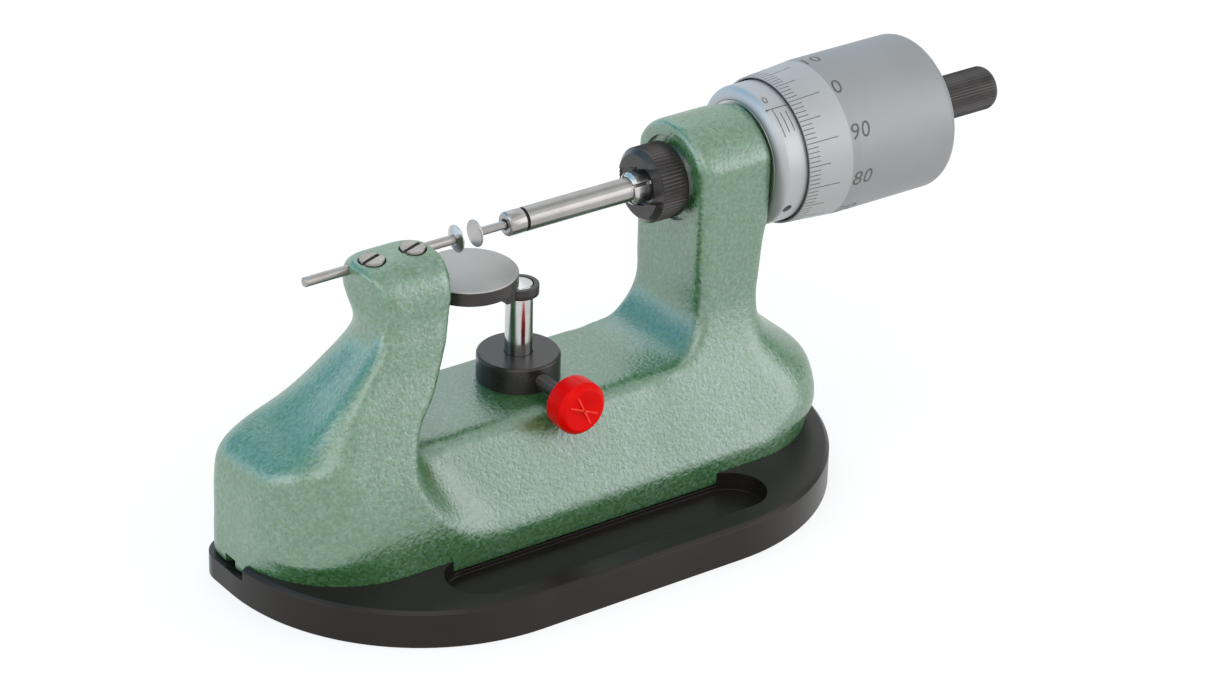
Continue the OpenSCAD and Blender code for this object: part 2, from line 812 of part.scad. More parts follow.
// Bush pressed into the bridge, cross-tapped for the clamp screw
module table_bush() {
    color("#232326")
        difference() {
            translate([table_post_x, 0, bridge_top - spigot_l])
                rotate_extrude()
                    polygon([
                        [table_post_d / 2 + run, 0], [spigot_d / 2, 0], [spigot_d / 2, spigot_l],
                        [bush_d / 2, spigot_l],
                        [bush_d / 2, spigot_l + bush_h - 0.3], [bush_d / 2 - 0.3, spigot_l + bush_h],
                        [table_post_d / 2 + run, spigot_l + bush_h]
                    ]);
            translate([table_post_x, 0, clamp_z])
                rotate([90, 0, 0])
                    cylinder(d = clamp_d + 2 * run, h = bush_d);
        }
}

module table_post() {
    color("#c2c4c6")
        translate([table_post_x, 0, post_top_z - table_post_l])
            cylinder(d = table_post_d, h = table_post_l);
}

// Swings a part of the table about the post
module swung() {
    translate([table_post_x, 0, 0])
        rotate([0, 0, table_swing])
            children();
}

// Cranked arm: eye on the post, step beside the eye, and pad under the table
module table_arm() {
    eye_z = post_top_z - eye_t;
    pad_z = table_z - arm_t;
    step_x = -eye_d / 2 - arm_step;
    step_l = eye_d / 2 + arm_step - table_post_d / 2 - arm_room;
    color("#2b2b2e")
        swung()
            difference() {
                union() {
                    translate([0, 0, eye_z])
                        cylinder(d = eye_d, h = eye_t);
                    translate([step_x, -arm_w / 2, eye_z])
                        cube([step_l, arm_w, table_z - eye_z]);
                    translate([-table_reach, -arm_w / 2, pad_z])
                        cube([table_reach + step_x + arm_lap, arm_w, arm_t]);
                    translate([-table_reach, 0, pad_z])
                        cylinder(d = arm_pad_d, h = arm_t);
                }
                translate([0, 0, eye_z - over])
                    cylinder(d = table_post_d + 2 * run, h = eye_t + over);
                translate([-table_reach, 0, pad_z - over])
                    cylinder(d = table_screw_d, h = arm_t + 2 * over);
                translate([-table_reach, 0, pad_z - over])
                    cylinder(d = table_screw_head + 0.2, h = over + table_screw_head_h);
            }
}

// Round table with a ground top
module table_disc() {
    color("#8f8f92")
        swung()
            translate([-table_reach, 0, table_z])
                difference() {
                    rotate_extrude()
                        polygon([
                            [0, 0], [table_d / 2 - 0.25, 0], [table_d / 2, 0.25],
                            [table_d / 2, table_t - 0.2],
                            [table_d / 2 - 0.2, table_t], [0, table_t]
                        ]);
                    translate([0, 0, -over])
                        cylinder(d = table_screw_d, h = over + table_screw_reach + 0.1);
                }
}

// Screw that fixes the table on the arm from below
module table_screw() {
    color("#77797c")
        swung()
            translate([-table_reach, 0, table_z - arm_t])
                difference() {
                    union() {
                        cylinder(d = table_screw_head, h = table_screw_head_h);
                        cylinder(d = table_screw_d, h = arm_t + table_screw_reach);
                    }
                    translate([-table_screw_head, -table_screw_slot / 2, -over])
                        cube([2 * table_screw_head, table_screw_slot, over + table_screw_slot]);
                }
}

// Clamp screw through the bush
module clamp_screw() {
    y0 = table_post_d / 2 + 0.9;
    color("#19191b")
        translate([table_post_x, -y0, clamp_z])
            rotate([90, 0, 0])
                cylinder(d = clamp_d, h = clamp_knob_y - y0 + 2.4);
}

// Moulded knob with a sunk cone and ribs on its front
module clamp_knob() {
    rib_count = 6;
    color("#e0140f")
        translate([table_post_x, -clamp_knob_y, clamp_z])
            rotate([90, 0, 0])
                difference() {
                    rotate_extrude()
                        polygon([
                            [clamp_d / 2, 0], [clamp_knob_d / 2 - 1.2, 0], [clamp_knob_d / 2, 1.2],
                            [clamp_knob_d / 2, clamp_knob_l - 0.9], [clamp_knob_d / 2 - 0.9, clamp_knob_l],
                            [0, clamp_knob_l - 0.9], [0, 2.4], [clamp_d / 2, 2.4]
                        ]);
                    for (i = [0:rib_count - 1])
                        rotate([0, 0, i * 360 / rib_count])
                            translate([clamp_knob_d / 2 + 1, 0, -over])
                                cylinder(d = 2.6, h = clamp_knob_l + 2 * over);
                }
}

// Brass pad between the clamp screw and the post
module clamp_pad() {
    color("#b08d3c")
        translate([table_post_x, -table_post_d / 2 - 0.2, clamp_z])
            rotate([90, 0, 0])
                cylinder(d = clamp_d - 0.3, h = 0.65);
}

base_plate();
base_screws();
frame_casting();
anvil_rod();
anvil_disc();
anvil_screw_left();
anvil_screw_right();
tip_disc();
spindle_tip();
spindle();
lock_nut();
head_barrel();
adjusting_nut();
scale_sleeve();
drum();
drum_hub();
friction_knob();
friction_spring();
knob_screw();
table_bush();
table_post();
table_arm();
table_disc();
table_screw();
clamp_screw();
clamp_knob();
clamp_pad();
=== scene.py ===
# Looks of a small bench micrometer, piece by piece in the order in which it is put together.
import math

import bmesh
import bpy
import numpy as np
from mathutils import Euler, Matrix, Vector


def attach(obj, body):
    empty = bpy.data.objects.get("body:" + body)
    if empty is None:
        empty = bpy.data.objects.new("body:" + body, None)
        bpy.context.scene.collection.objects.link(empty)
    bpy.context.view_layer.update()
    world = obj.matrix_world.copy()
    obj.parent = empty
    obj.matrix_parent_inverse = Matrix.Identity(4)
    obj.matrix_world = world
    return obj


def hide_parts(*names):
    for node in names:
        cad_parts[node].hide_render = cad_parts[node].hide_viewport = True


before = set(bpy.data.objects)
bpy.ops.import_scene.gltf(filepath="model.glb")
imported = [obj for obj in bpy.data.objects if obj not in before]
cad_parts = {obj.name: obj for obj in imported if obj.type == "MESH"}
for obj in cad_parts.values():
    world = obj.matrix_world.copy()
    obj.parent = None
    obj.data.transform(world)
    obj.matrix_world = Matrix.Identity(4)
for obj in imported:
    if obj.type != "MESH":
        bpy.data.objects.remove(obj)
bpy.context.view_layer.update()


# Base plate
# Black satin plate, milled from flat steel with two long round ends, a slot for loose parts in front and
# a shallow seat for the casting. Its edges are broken by hand, so each catches a thin line of light.
mm = 0.001
plate_black = (0.0062, 0.0055, 0.005, 1)
plate_worn = (0.0115, 0.01, 0.009, 1)
plate_sheen = (1, 0.91, 0.83, 1)
plate_edge = 0.13 * mm


def eased_copy(node, edge, weld=0.002 * mm, flat=math.radians(0.6), sharp=math.radians(28)):
    """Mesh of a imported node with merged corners, whole flat faces and sharp edges rounded off."""
    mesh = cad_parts[node].data.copy()
    bm = bmesh.new()
    bm.from_mesh(mesh)
    bmesh.ops.remove_doubles(bm, verts=bm.verts, dist=weld)
    bmesh.ops.dissolve_limit(bm, angle_limit=flat, verts=bm.verts, edges=bm.edges)
    corners = [e for e in bm.edges if e.is_manifold and e.calc_face_angle() > sharp]
    bmesh.ops.bevel(
        bm, geom=corners, offset=edge, segments=2, profile=0.5, affect="EDGES", clamp_overlap=True)
    bm.to_mesh(mesh)
    bm.free()
    return mesh


def fitted(name, mesh, finish, body, slot, *nodes, even=True, crisp=math.radians(34)):
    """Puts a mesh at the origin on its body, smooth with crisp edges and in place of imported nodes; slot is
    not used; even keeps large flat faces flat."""
    mesh.materials.clear()
    mesh.materials.append(finish)
    mesh.shade_smooth()
    mesh.set_sharp_from_angle(angle=crisp)
    piece = bpy.data.objects.new(name, mesh)
    bpy.context.scene.collection.objects.link(piece)
    if even:
        piece.modifiers.new("even_shading", "WEIGHTED_NORMAL").keep_sharp = True
    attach(piece, body)
    if nodes:
        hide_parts(*nodes)
    return piece


def feed(tree, socket, value):
    """Links another node's output to a socket, or sets a plain value on it."""
    if isinstance(value, bpy.types.NodeSocket):
        tree.links.new(value, socket)
    else:
        socket.default_value = value


def add_node(tree, kind, inputs=None, **settings):
    """Adds a node, applies its settings, then sets or links its inputs."""
    node = tree.nodes.new(kind)
    for key, value in settings.items():
        setattr(node, key, value)
    for socket, value in (inputs or {}).items():
        feed(tree, node.inputs[socket], value)
    return node


def new_finish(name, **constants):
    """Material, its tree and its shader, with constants on the shader's own sockets."""
    finish = bpy.data.materials.new(name)
    finish.use_nodes = True
    tree = finish.node_tree
    shader = tree.nodes["Principled BSDF"]
    for socket, value in constants.items():
        shader.inputs[socket.replace("_", " ")].default_value = value
    return finish, tree, shader


def noise(tree, scale, detail=3.0, stretch=(1, 1, 1), roughness=0.5, distortion=0.0):
    """Noise on the object's own coordinates, with its pattern stretched along the axes."""
    where = add_node(tree, "ShaderNodeTexCoord").outputs["Object"]
    stretched = add_node(tree, "ShaderNodeMapping", {"Vector": where, "Scale": stretch}).outputs[0]
    return add_node(tree, "ShaderNodeTexNoise", {
        "Vector": stretched, "Scale": scale, "Detail": detail, "Roughness": roughness,
        "Distortion": distortion}).outputs["Fac"]


def spread(tree, value, low, high, start=0.3, end=0.7):
    """Maps a pattern onto a range of plain numbers."""
    return add_node(tree, "ShaderNodeMapRange", {
        "Value": value, "From Min": start, "From Max": end, "To Min": low, "To Max": high}).outputs["Result"]


def blended(tree, share, a, b):
    """Colour between a and b; each is a colour or another node's colour."""
    mixer = add_node(tree, "ShaderNodeMix", data_type="RGBA")
    for socket, value in (("Factor_Float", share), ("A_Color", a), ("B_Color", b)):
        feed(tree, next(s for s in mixer.inputs if s.identifier == socket), value)
    return next(s for s in mixer.outputs if s.identifier == "Result_Color")


def relief(tree, shader, height, depth, strength=1.0):
    """Bump of a given real depth on the shader."""
    bump = add_node(tree, "ShaderNodeBump", {"Height": height, "Distance": depth, "Strength": strength})
    tree.links.new(bump.outputs["Normal"], shader.inputs["Normal"])


def mottled(name, dark, light, rough, scale, detail, grain=None, **constants):
    """Finish with soft patches of colour and gloss; grain is a relief's scale, stretch, depth, strength."""
    finish, tree, shader = new_finish(name, **constants)
    patches = noise(tree, scale, detail)
    tree.links.new(blended(tree, spread(tree, patches, 0, 1), dark, light), shader.inputs["Base Color"])
    tree.links.new(spread(tree, patches, *rough), shader.inputs["Roughness"])
    if grain:
        grain_scale, stretch, depth, strength = grain
        relief(tree, shader, noise(tree, grain_scale, 2, stretch), depth, strength)
    return finish


plate_finish = mottled(
    "satin_black_plate", plate_black, plate_worn, rough=(0.27, 0.37), scale=55, detail=4,
    grain=(2600, (1, 1, 1), 0.012 * mm, 0.5), Metallic=0.0, Specular_IOR_Level=0.31,
    Specular_Tint=plate_sheen)
fitted("plate", eased_copy("base_plate", plate_edge), plate_finish, "frame", "plate", "base_plate")


# Base screws
# Two countersunk steel screws, driven from below through the plate into the casting's foot.
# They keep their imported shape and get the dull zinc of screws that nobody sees.
zinc_dark, zinc_light = (0.33, 0.33, 0.34, 1), (0.52, 0.52, 0.53, 1)
dull_zinc = mottled("dull_zinc", zinc_dark, zinc_light, rough=(0.3, 0.5), scale=1500, detail=4, Metallic=1.0)


def finished(node, finish):
    """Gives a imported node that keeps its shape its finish."""
    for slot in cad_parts[node].material_slots:
        slot.material = finish


finished("base_screws", dull_zinc)


# Frame casting
# One iron casting under green hammertone enamel: foot, bridge with a sloping flank, a swan-necked upright
# for the anvil and one for the measuring head. Its curves are the pattern maker's; its bores are machined.
seat_z, skirt_top, bridge_top, axis_h = 3.7, 9.0, 21.8, 47.8
cast_half, cast_front, cast_back, cast_corner = 50.2, 18.2, 9.0, 4.0
bridge_half, bridge_front, bridge_edge, bridge_fillet = 35.14, 11.3, 2.0, 8.0
post_x0, post_x1, post_r, post_y, post_top, post_back = -31.5, -17.5, 8.0, -1.2, 49.5, 5.5
crown_power, crown_edge, ridge_r, throat_r, rear_r = 2.6, 0.9, 1.2, 1.5, 12.0
head_x0, head_x1, head_r, head_corner, vault_z = 26.6, 39.8, 8.9, 1.6, 51.3
anvil_back_inset, bridge_front_inset, bridge_back_inset = 0.1, 0.6, 0.3
head_end_inset, head_front_inset, head_back_inset, head_round_inset = 0.4, 0.45, 0.2, 0.5
head_side_inset, fillet_lap, fillet_sink, corner_gap, crisp_foot = 0.1, 2.0, 0.15, 0.1, 6.0
widest_corner, foot_lap, crown_gap, vault_gap = 0.48, 0.4, 0.04, 0.05
rod_d, clamp_heads = 1.5, ((-27.7, -2.0), (-20.7, -2.0))
table_x = -0.5
skin_pitch = 0.386 * mm

left_share = (
    (0, 0), (0.27, 0), (0.335, 0.047), (0.387, 0.175), (0.438, 0.395), (0.49, 0.554), (0.54, 0.67),
    (0.593, 0.776), (0.644, 0.885), (0.696, 0.982), (0.747, 1.053), (0.8, 1.076), (0.86, 1.052),
    (0.93, 1.041), (0.98, 1.035), (1.05, 1))
left_lean = (
    (0, 0), (0.3, 0), (0.38, -0.9), (0.46, -2), (0.54, -2.5), (0.62, -2.4), (0.68, -2), (0.74, -1.3),
    (0.8, -0.4), (0.86, 0.7), (0.93, 1), (0.99, 0.6), (1.05, 0.3))
right_offset = (
    (0, 1.5), (0.055, -2.6), (0.15, -6.6), (0.235, -8.9), (0.31, -9.9), (0.395, -9.5), (0.465, -8.4),
    (0.54, -6.1), (0.64, -3.7), (0.74, -2), (0.83, -0.8), (0.91, -0.3), (1.05, 0))
front_share = (
    (0, 0), (0.1, 0.03), (0.27, 0.19), (0.41, 0.39), (0.54, 0.59), (0.66, 0.78), (0.75, 0.88), (0.85, 1),
    (1.05, 1))
back_share = ((0, 0), (0.3, 0.05), (0.5, 0.4), (0.7, 0.85), (0.85, 1), (1.05, 1))
outer_share = (
    (0, 0), (0.23, 0.22), (0.31, 0.42), (0.41, 0.65), (0.49, 0.79), (0.57, 0.89), (0.7, 0.953),
    (0.8, 0.976), (0.93, 1), (1.05, 1))
rear_share = (
    (0, 0), (0.28, 0.12), (0.39, 0.31), (0.49, 0.5), (0.57, 0.62), (0.65, 0.68), (0.74, 0.68), (0.81, 0.58),
    (0.88, 0.34), (0.96, 0.12), (1.05, 0.1))
head_right = (
    (0, 1), (0.077, 1), (0.137, 0.97), (0.178, 0.9), (0.224, 0.72), (0.278, 0.44), (0.33, 0.18),
    (0.374, 0.04), (0.412, -0.06), (0.48, -0.12), (0.55, -0.13), (0.67, -0.1), (0.75, -0.06), (0.83, 0),
    (1.3, 0))
head_front = ((0, 0), (0.16, 0.33), (0.33, 0.71), (0.44, 0.9), (0.54, 1), (1.3, 1))
head_outer = (
    (0, 0), (0.13, 0.17), (0.23, 0.42), (0.335, 0.66), (0.44, 0.85), (0.54, 0.97), (0.8, 1), (1.3, 1))


def along(stations, t):
    """Smooth curve through stations of height share and value."""
    i = next((k for k in range(len(stations) - 1) if t <= stations[k + 1][0]), len(stations) - 2)

    def slope(k):
        (ta, va), (tb, vb) = stations[max(k - 1, 0)], stations[min(k + 1, len(stations) - 1)]
        return (vb - va) / (tb - ta)

    (ta, va), (tb, vb) = stations[i], stations[i + 1]
    h = tb - ta
    u = min(1, max(0, (t - ta) / h))
    return (va * (1 + 2 * u) * (1 - u) ** 2 + vb * u * u * (3 - 2 * u)
            + h * u * (1 - u) * (slope(i) * (1 - u) - slope(i + 1) * u))


def mix(a, b, s):
    """Value at a share of the way from a to b."""
    return a + (b - a) * s


def drawn_in(z, top, r):
    """How far a rounded top edge has drawn in at height z."""
    return r - math.sqrt(max(0, r * r - (z - top + r) ** 2)) if z > top - r else 0


def crown(z, top, r, power):
    """Half width of a crown at height z."""
    return r * max(0, 1 - ((z - top + r) / r) ** power) ** (1 / power) if z > top - r else r


def fillet_out(z, floor, r):
    """How far a fillet on a flat still reaches out at height z."""
    h = min(max(z - floor, 0), r)
    return r - math.sqrt(max(0, r * r - (r - h) ** 2))


def level_ring(x0, x1, y0, y1, radii, z, lean=0.0, steps=16):
    """Level section with its own radius at front right, rear right, rear left and the leaning front left."""
    corners = ((x1, y0, -1, 1, -90), (x1, y1, -1, -1, 0), (x0, y1, 1, -1, 90), (x0 + lean, y0, 1, 1, 180))
    ring = []
    for (x, y, sx, sy, first), r in zip(corners, radii):
        for k in range(steps + 1):
            a = math.radians(first + 90 * k / steps)
            ring.append((x + sx * r + r * math.cos(a), y + sy * r + r * math.sin(a), z))
    return ring


def height_share(z):
    """Share of the way up from the top of the skirt to the measuring axis."""
    return (z - skirt_top) / (axis_h - skirt_top)


def anvil_upright_ring(z):
    """Section of the anvil upright: swelling foot, leaning shoulder, neck and vaulted crown."""
    t = height_share(z)
    half, draw = crown(z, post_top, post_r, crown_power), drawn_in(z, post_top, crown_edge)
    x0 = mix(-cast_half, post_x0, along(left_share, t)) + draw
    x1 = post_x1 + along(right_offset, t) - draw
    y0 = post_r - half - mix(cast_front, post_r - post_y, along(front_share, t))
    rear_y = mix(cast_back - anvil_back_inset, post_back, along(back_share, t))
    y1 = rear_y - (post_r - half) * (post_back - post_y) / post_r
    limit = (y1 - y0) * widest_corner
    outer = min(mix(cast_front, ridge_r, along(outer_share, t)), limit) * half / post_r
    rear = min(mix(cast_corner, rear_r, along(rear_share, t)), 2 * limit - outer)
    corner = min(cast_corner, limit, x1 - x0 - rear - corner_gap)
    inner = min(throat_r, limit) * half / post_r
    return level_ring(x0, x1, y0, y1, (inner, corner, rear, outer), z, along(left_lean, t))


def bridge_ring(z):
    """Section of the bridge, with a sloping flank in front and rounded top edges."""
    draw = drawn_in(z, bridge_top, bridge_edge)
    slope = (z - skirt_top) / (bridge_top - skirt_top)
    y0 = draw - mix(cast_front - bridge_front_inset, bridge_front, slope)
    y1 = cast_back - bridge_back_inset - draw / 2
    return level_ring(-bridge_half, bridge_half, y0, y1, [bridge_edge] * 4, z)


def vault(z):
    """Half width of the head: flat sides, then a flat arch from a visible edge up to the top."""
    rise = axis_h + head_r - vault_z
    r = (head_r ** 2 + rise ** 2) / (2 * rise)
    return math.sqrt(max(0, r * r - (z - vault_z - rise + r) ** 2)) if z > vault_z else head_r


def head_upright_ring(z):
    """Section of the head upright, which sweeps out to the foot at the right."""
    t = height_share(z)
    half = vault(z)
    x1 = head_x1 + along(head_right, t) * (cast_half - head_end_inset - head_x1)
    x0 = head_x0 - fillet_out(z, bridge_top - fillet_sink, bridge_fillet)
    if z < bridge_top:
        x0 = head_x0 - bridge_fillet - fillet_lap
    y0 = head_r - half - mix(cast_front - head_front_inset, head_r, along(head_front, t))
    y1 = mix(cast_back - head_back_inset, head_r - head_side_inset, min(1, t)) - head_r + half
    limit = (y1 - y0) * widest_corner
    outer = mix(cast_front - head_round_inset, head_corner, along(head_outer, t))
    radii = [min(r, limit) for r in (outer, cast_corner, head_corner, head_corner)]
    return level_ring(x0, x1, y0, y1, radii, z)


def foot_ring(z):
    """Section of the foot, with large rounds at its two front corners."""
    radii = (cast_front, cast_corner, cast_corner, cast_front)
    return level_ring(-cast_half, cast_half, -cast_front, cast_back, radii, z, steps=40)


def skinned(bm, rings):
    """Closed skin over rings of points."""
    for low, high in zip(rings, rings[1:]):
        for k in range(len(low)):
            n = (k + 1) % len(low)
            bm.faces.new((low[k], low[n], high[n], high[k]))
    bm.faces.new(rings[0][::-1])
    bm.faces.new(rings[-1])


def lofted(bm, ring_at, z0, z1, levels):
    """Closed skin through level sections that lie closer together towards the top."""
    rings = []
    for i in range(levels + 1):
        z = z0 + (z1 - z0) * math.sin(math.pi / 2 * i / levels)
        rings.append([bm.verts.new(Vector(p) * mm) for p in ring_at(z)])
    skinned(bm, rings)


def mesh_of(bm, name):
    """Turns a mesh in the making into a plain mesh."""
    mesh = bpy.data.meshes.new(name)
    bm.to_mesh(mesh)
    bm.free()
    return mesh


def evaluated_mesh(piece):
    """Plain mesh of an object as its modifiers leave it."""
    bpy.context.view_layer.update()
    return bpy.data.meshes.new_from_object(piece.evaluated_get(bpy.context.evaluated_depsgraph_get()))


def scratch_object(data):
    """Object that only lives while a mesh is worked on."""
    holder = bpy.data.objects.new("in_work", data)
    bpy.context.scene.collection.objects.link(holder)
    return holder


bm = bmesh.new()
lofted(bm, foot_ring, seat_z, skirt_top, levels=12)
lofted(bm, anvil_upright_ring, skirt_top - foot_lap, post_top - crown_gap, levels=110)
lofted(bm, bridge_ring, skirt_top - foot_lap, bridge_top, levels=60)
lofted(bm, head_upright_ring, skirt_top - foot_lap, axis_h + head_r - vault_gap, levels=120)
holder = scratch_object(mesh_of(bm, "casting_pattern"))
one_skin = holder.modifiers.new("one_skin", "REMESH")
one_skin.mode, one_skin.voxel_size = "VOXEL", skin_pitch
cast_mesh = evaluated_mesh(holder)
bpy.data.objects.remove(holder)


def numbers(items, field, width, kind=float):
    """Numbers of a mesh's points or edges as rows of an array."""
    values = np.empty(len(items) * width, kind)
    items.foreach_get(field, values)
    return values.reshape(-1, width)


def reshaped(mesh, co):
    """Puts moved points back into their mesh and returns its new normals."""
    mesh.vertices.foreach_set("co", co.ravel())
    mesh.update()
    return numbers(mesh.vertices, "normal", 3)


def neighbour_mean(co, edges):
    """Mean place of each point's neighbours along these edges."""
    a, b = edges.T
    count = np.maximum(np.bincount(edges.ravel(), minlength=len(co)), 1)[:, None]
    near = [np.bincount(a, co[b, k], len(co)) + np.bincount(b, co[a, k], len(co)) for k in range(3)]
    return np.stack(near, 1) / count


def relaxed(co, edges, share, rounds, pace=0.5):
    """Moves each point towards the mean of its neighbours, as far as its share says."""
    moving = edges[(share[edges] > 0).any(1)]
    for _ in range(rounds):
        co = co + pace * share[:, None] * (neighbour_mean(co, moving) - co)
    return co


def hollows(co, normals, edges, depth, rings, fade=0.93):
    """Share of each point in an inner corner, fading over some rings of neighbours."""
    a, b = edges.T
    share = np.clip(((neighbour_mean(co, edges) - co) * normals).sum(1) / depth, 0, 1)
    for _ in range(rings):
        wider = share.copy()
        np.maximum.at(wider, a, share[b] * fade)
        np.maximum.at(wider, b, share[a] * fade)
        share = wider
    return share


def kept_inside(share, *sides):
    """Share that fades to nothing at each side of a region; a side is a distance in mm and a margin."""
    for distance, margin in sides:
        share = share * np.clip(distance / margin, 0, 1)
    return share


# All inner corners get their cast fillets first; then the hollow beside the anvil upright grows wider, and
# the flank below the head loses its crease.
co = numbers(cast_mesh.vertices, "co", 3)
edges = numbers(cast_mesh.edges, "vertices", 2, int)
co = relaxed(co, edges, np.ones(len(co)), rounds=8)
inner = hollows(co, reshaped(cast_mesh, co), edges, depth=0.016 * mm, rings=11)
inner[co[:, 2] < crisp_foot * mm] = 0
co = relaxed(co, edges, inner, rounds=130)
normals = reshaped(cast_mesh, co)
x, y, z = (co / mm).T
smooth = 1 - hollows(co, -normals, edges, depth=0.02 * mm, rings=2)
cove = hollows(co, normals, edges, depth=0.01 * mm, rings=28) * smooth
cove = kept_inside(cove, (x + 31, 3), (4 - x, 6), (-7 - y, 2), (z - 7, 3), (22 - z, 2))
flank = kept_inside(smooth, (x - 13, 4), (35 - x, 4), (-10 - y, 2), (z - 9, 3), (21 - z, 2))
co = relaxed(co, edges, cove, rounds=400)
co = relaxed(co, edges, flank, rounds=250)
reshaped(cast_mesh, co)


def turned_mesh(profile, axis="X", centre=(0, 0, axis_h), ease=0.06, segments=96, longest=0.4):
    """Lathe work: eased profile of (radius, place along the axis) in mm; ends on the axis or closes."""
    points = [Vector((r, s)) for r, s in profile]
    solid = profile[0][0] == 0
    eased = []
    for k, p in enumerate(points):
        before, after = points[k - 1] - p, points[(k + 1) % len(points)] - p
        if ease == 0 or (solid and k in (0, len(points) - 1)):
            eased.append(p)
            continue
        cut = min(ease, before.length * longest, after.length * longest)
        a, b = p + before.normalized() * cut, p + after.normalized() * cut
        eased += [a * (1 - u) ** 2 + p * 2 * u * (1 - u) + b * u * u for u in (0, 0.33, 0.67, 1)]
    bm = bmesh.new()
    rings = []
    for r, s in eased:
        ring = []
        for k in range(1 if r == 0 else segments):
            a = 2 * math.pi * k / segments
            u, v = r * math.cos(a), r * math.sin(a)
            spot = {"X": (s, u, v), "Y": (v, -s, u), "Z": (u, v, s)}[axis]
            ring.append(bm.verts.new((Vector(spot) + Vector(centre)) * mm))
        rings.append(ring)
    pairs = list(zip(rings, rings[1:])) + ([] if solid else [(rings[-1], rings[0])])
    for a, b in pairs:
        for k in range(segments):
            n = (k + 1) % segments
            corners = [a[k % len(a)], a[n % len(a)], b[n % len(b)], b[k % len(b)]]
            bm.faces.new(list(dict.fromkeys(corners)))
    bmesh.ops.recalc_face_normals(bm, faces=bm.faces)
    return mesh_of(bm, "turned")


def drill(*steps, axis="X", centre=(0, 0, axis_h), segments=96):
    """Cutter for a stepped hole; each step is its radius, start and end along the axis."""
    walls = [point for r, start, end in steps for point in ((r, start), (r, end))]
    return turned_mesh([(0, steps[0][1]), *walls, (0, steps[-1][2])], axis, centre, 0, segments)


def box_mesh(low, high, turn=Matrix.Identity(4)):
    """Box between two corners in mm, turned as a whole."""
    bm = bmesh.new()
    bmesh.ops.create_cube(bm, size=1)
    size, middle = Vector(high) - Vector(low), (Vector(high) + Vector(low)) / 2
    stretch = Matrix.Diagonal((*(size * mm), 1))
    bmesh.ops.transform(bm, matrix=turn @ Matrix.Translation(middle * mm) @ stretch, verts=bm.verts)
    return mesh_of(bm, "box")


def joined_mesh(meshes):
    """One mesh from several."""
    bm = bmesh.new()
    for part in meshes:
        bm.from_mesh(part)
    return mesh_of(bm, "joined")


def cut_away(mesh, *cutter_groups):
    """Mesh with each group of cutter meshes taken away."""
    holder = scratch_object(mesh)
    tools = [scratch_object(joined_mesh(group)) for group in cutter_groups]
    for tool in tools:
        cut = holder.modifiers.new("cut", "BOOLEAN")
        cut.operation, cut.solver, cut.object = "DIFFERENCE", "EXACT", tool
    result = evaluated_mesh(holder)
    for item in (holder, *tools):
        bpy.data.objects.remove(item)
    return result


nut_recess_r, barrel_bore_r, bore_x0, bore_step, bore_x1 = 6.7, 4.8, 20, 27.2, 45
post_bore_r, bush_neck_r, post_bore_z0, bush_foot, bush_bore_z1 = 2.525, 4.5, 5.3, 14.8, 30
screw_bore_r, head_seat_r, screw_bore_z0, head_seat_z, head_seat_z1 = 0.94, 2.1, 42.55, 48.55, 56
base_screw_x, base_screw_y, base_screw_r, base_screw_z0, base_screw_z1 = 37.2, -3, 1.5, 2, 9.8
rod_gap, rod_hole_x0, rod_hole_x1 = 0.04, -40, -10
foot_slot = box_mesh(low=(-53, -0.05, 2), high=(-47.8, 2.75, 5.4))
head_bore = drill((nut_recess_r, bore_x0, bore_step), (barrel_bore_r, bore_step, bore_x1))
bush_bore = drill(
    (post_bore_r, post_bore_z0, bush_foot), (bush_neck_r, bush_foot, bush_bore_z1), axis="Z",
    centre=(table_x, 0, 0))
head_seats = [
    drill((screw_bore_r, screw_bore_z0, head_seat_z), (head_seat_r, head_seat_z, head_seat_z1), axis="Z",
          centre=(x, y, 0)) for x, y in clamp_heads]
rod_hole = drill((rod_d / 2 + rod_gap, rod_hole_x0, rod_hole_x1), segments=48)
screw_holes = [
    drill((base_screw_r, base_screw_z0, base_screw_z1), axis="Z", centre=(x, base_screw_y, 0), segments=32)
    for x in (-base_screw_x, base_screw_x)]
cast_mesh = cut_away(cast_mesh, [head_bore, bush_bore, foot_slot, *head_seats, *screw_holes], [rod_hole])


def maths(tree, operation, a, b):
    """Result of one sum with two values or node outputs."""
    return add_node(tree, "ShaderNodeMath", {0: a, 1: b}, operation=operation).outputs[0]


# Painted shade: the enamel is darkened towards its deep green on the sloping hollow in front of the anvil
# upright, where the upright shades the flank.
enamel_deep = (0.014, 0.09, 0.012, 1)
enamel_green = (0.043, 0.152, 0.034, 1)
enamel_pale = (0.125, 0.23, 0.165, 1)
enamel_sheen = (0.94, 0.97, 1, 1)
hammertone, tree, shader = new_finish(
    "green_hammertone", Metallic=0.0, IOR=2.42, Specular_Tint=enamel_sheen, Coat_Weight=0.2,
    Coat_Roughness=0.2)
dimples = noise(tree, 1700, 1.5, distortion=0.4)
flakes = noise(tree, 1600, 2.5, roughness=0.6, distortion=0.6)
pools = noise(tree, 60)
enamel = blended(tree, spread(tree, dimples, 0, 1, 0.36, 0.66), enamel_deep, enamel_green)
shine = maths(tree, "MULTIPLY", spread(tree, flakes, 0, 1, 0.46, 0.66), spread(tree, pools, 0.35, 0.8))
enamel = blended(tree, shine, enamel, enamel_pale)
casting_coordinates = add_node(tree, "ShaderNodeTexCoord").outputs
place = add_node(tree, "ShaderNodeSeparateXYZ", {0: casting_coordinates["Object"]}).outputs
facing = add_node(tree, "ShaderNodeSeparateXYZ", {0: casting_coordinates["Normal"]}).outputs
# Painted shade: darkens the enamel where the surface faces partly up inside the hollow in front of the anvil
# upright.
painted_hollow_shade = spread(tree, facing["Z"], 0, 0.85, 0.3, 0.42)
for side, start, end in (("X", -10, -22), ("Y", -10.5, -12), ("Z", 21.5, 19.5)):
    painted_hollow_shade = maths(
        tree, "MULTIPLY", painted_hollow_shade, spread(tree, place[side], 0, 1, start * mm, end * mm))
tree.links.new(blended(tree, painted_hollow_shade, enamel, enamel_deep), shader.inputs["Base Color"])
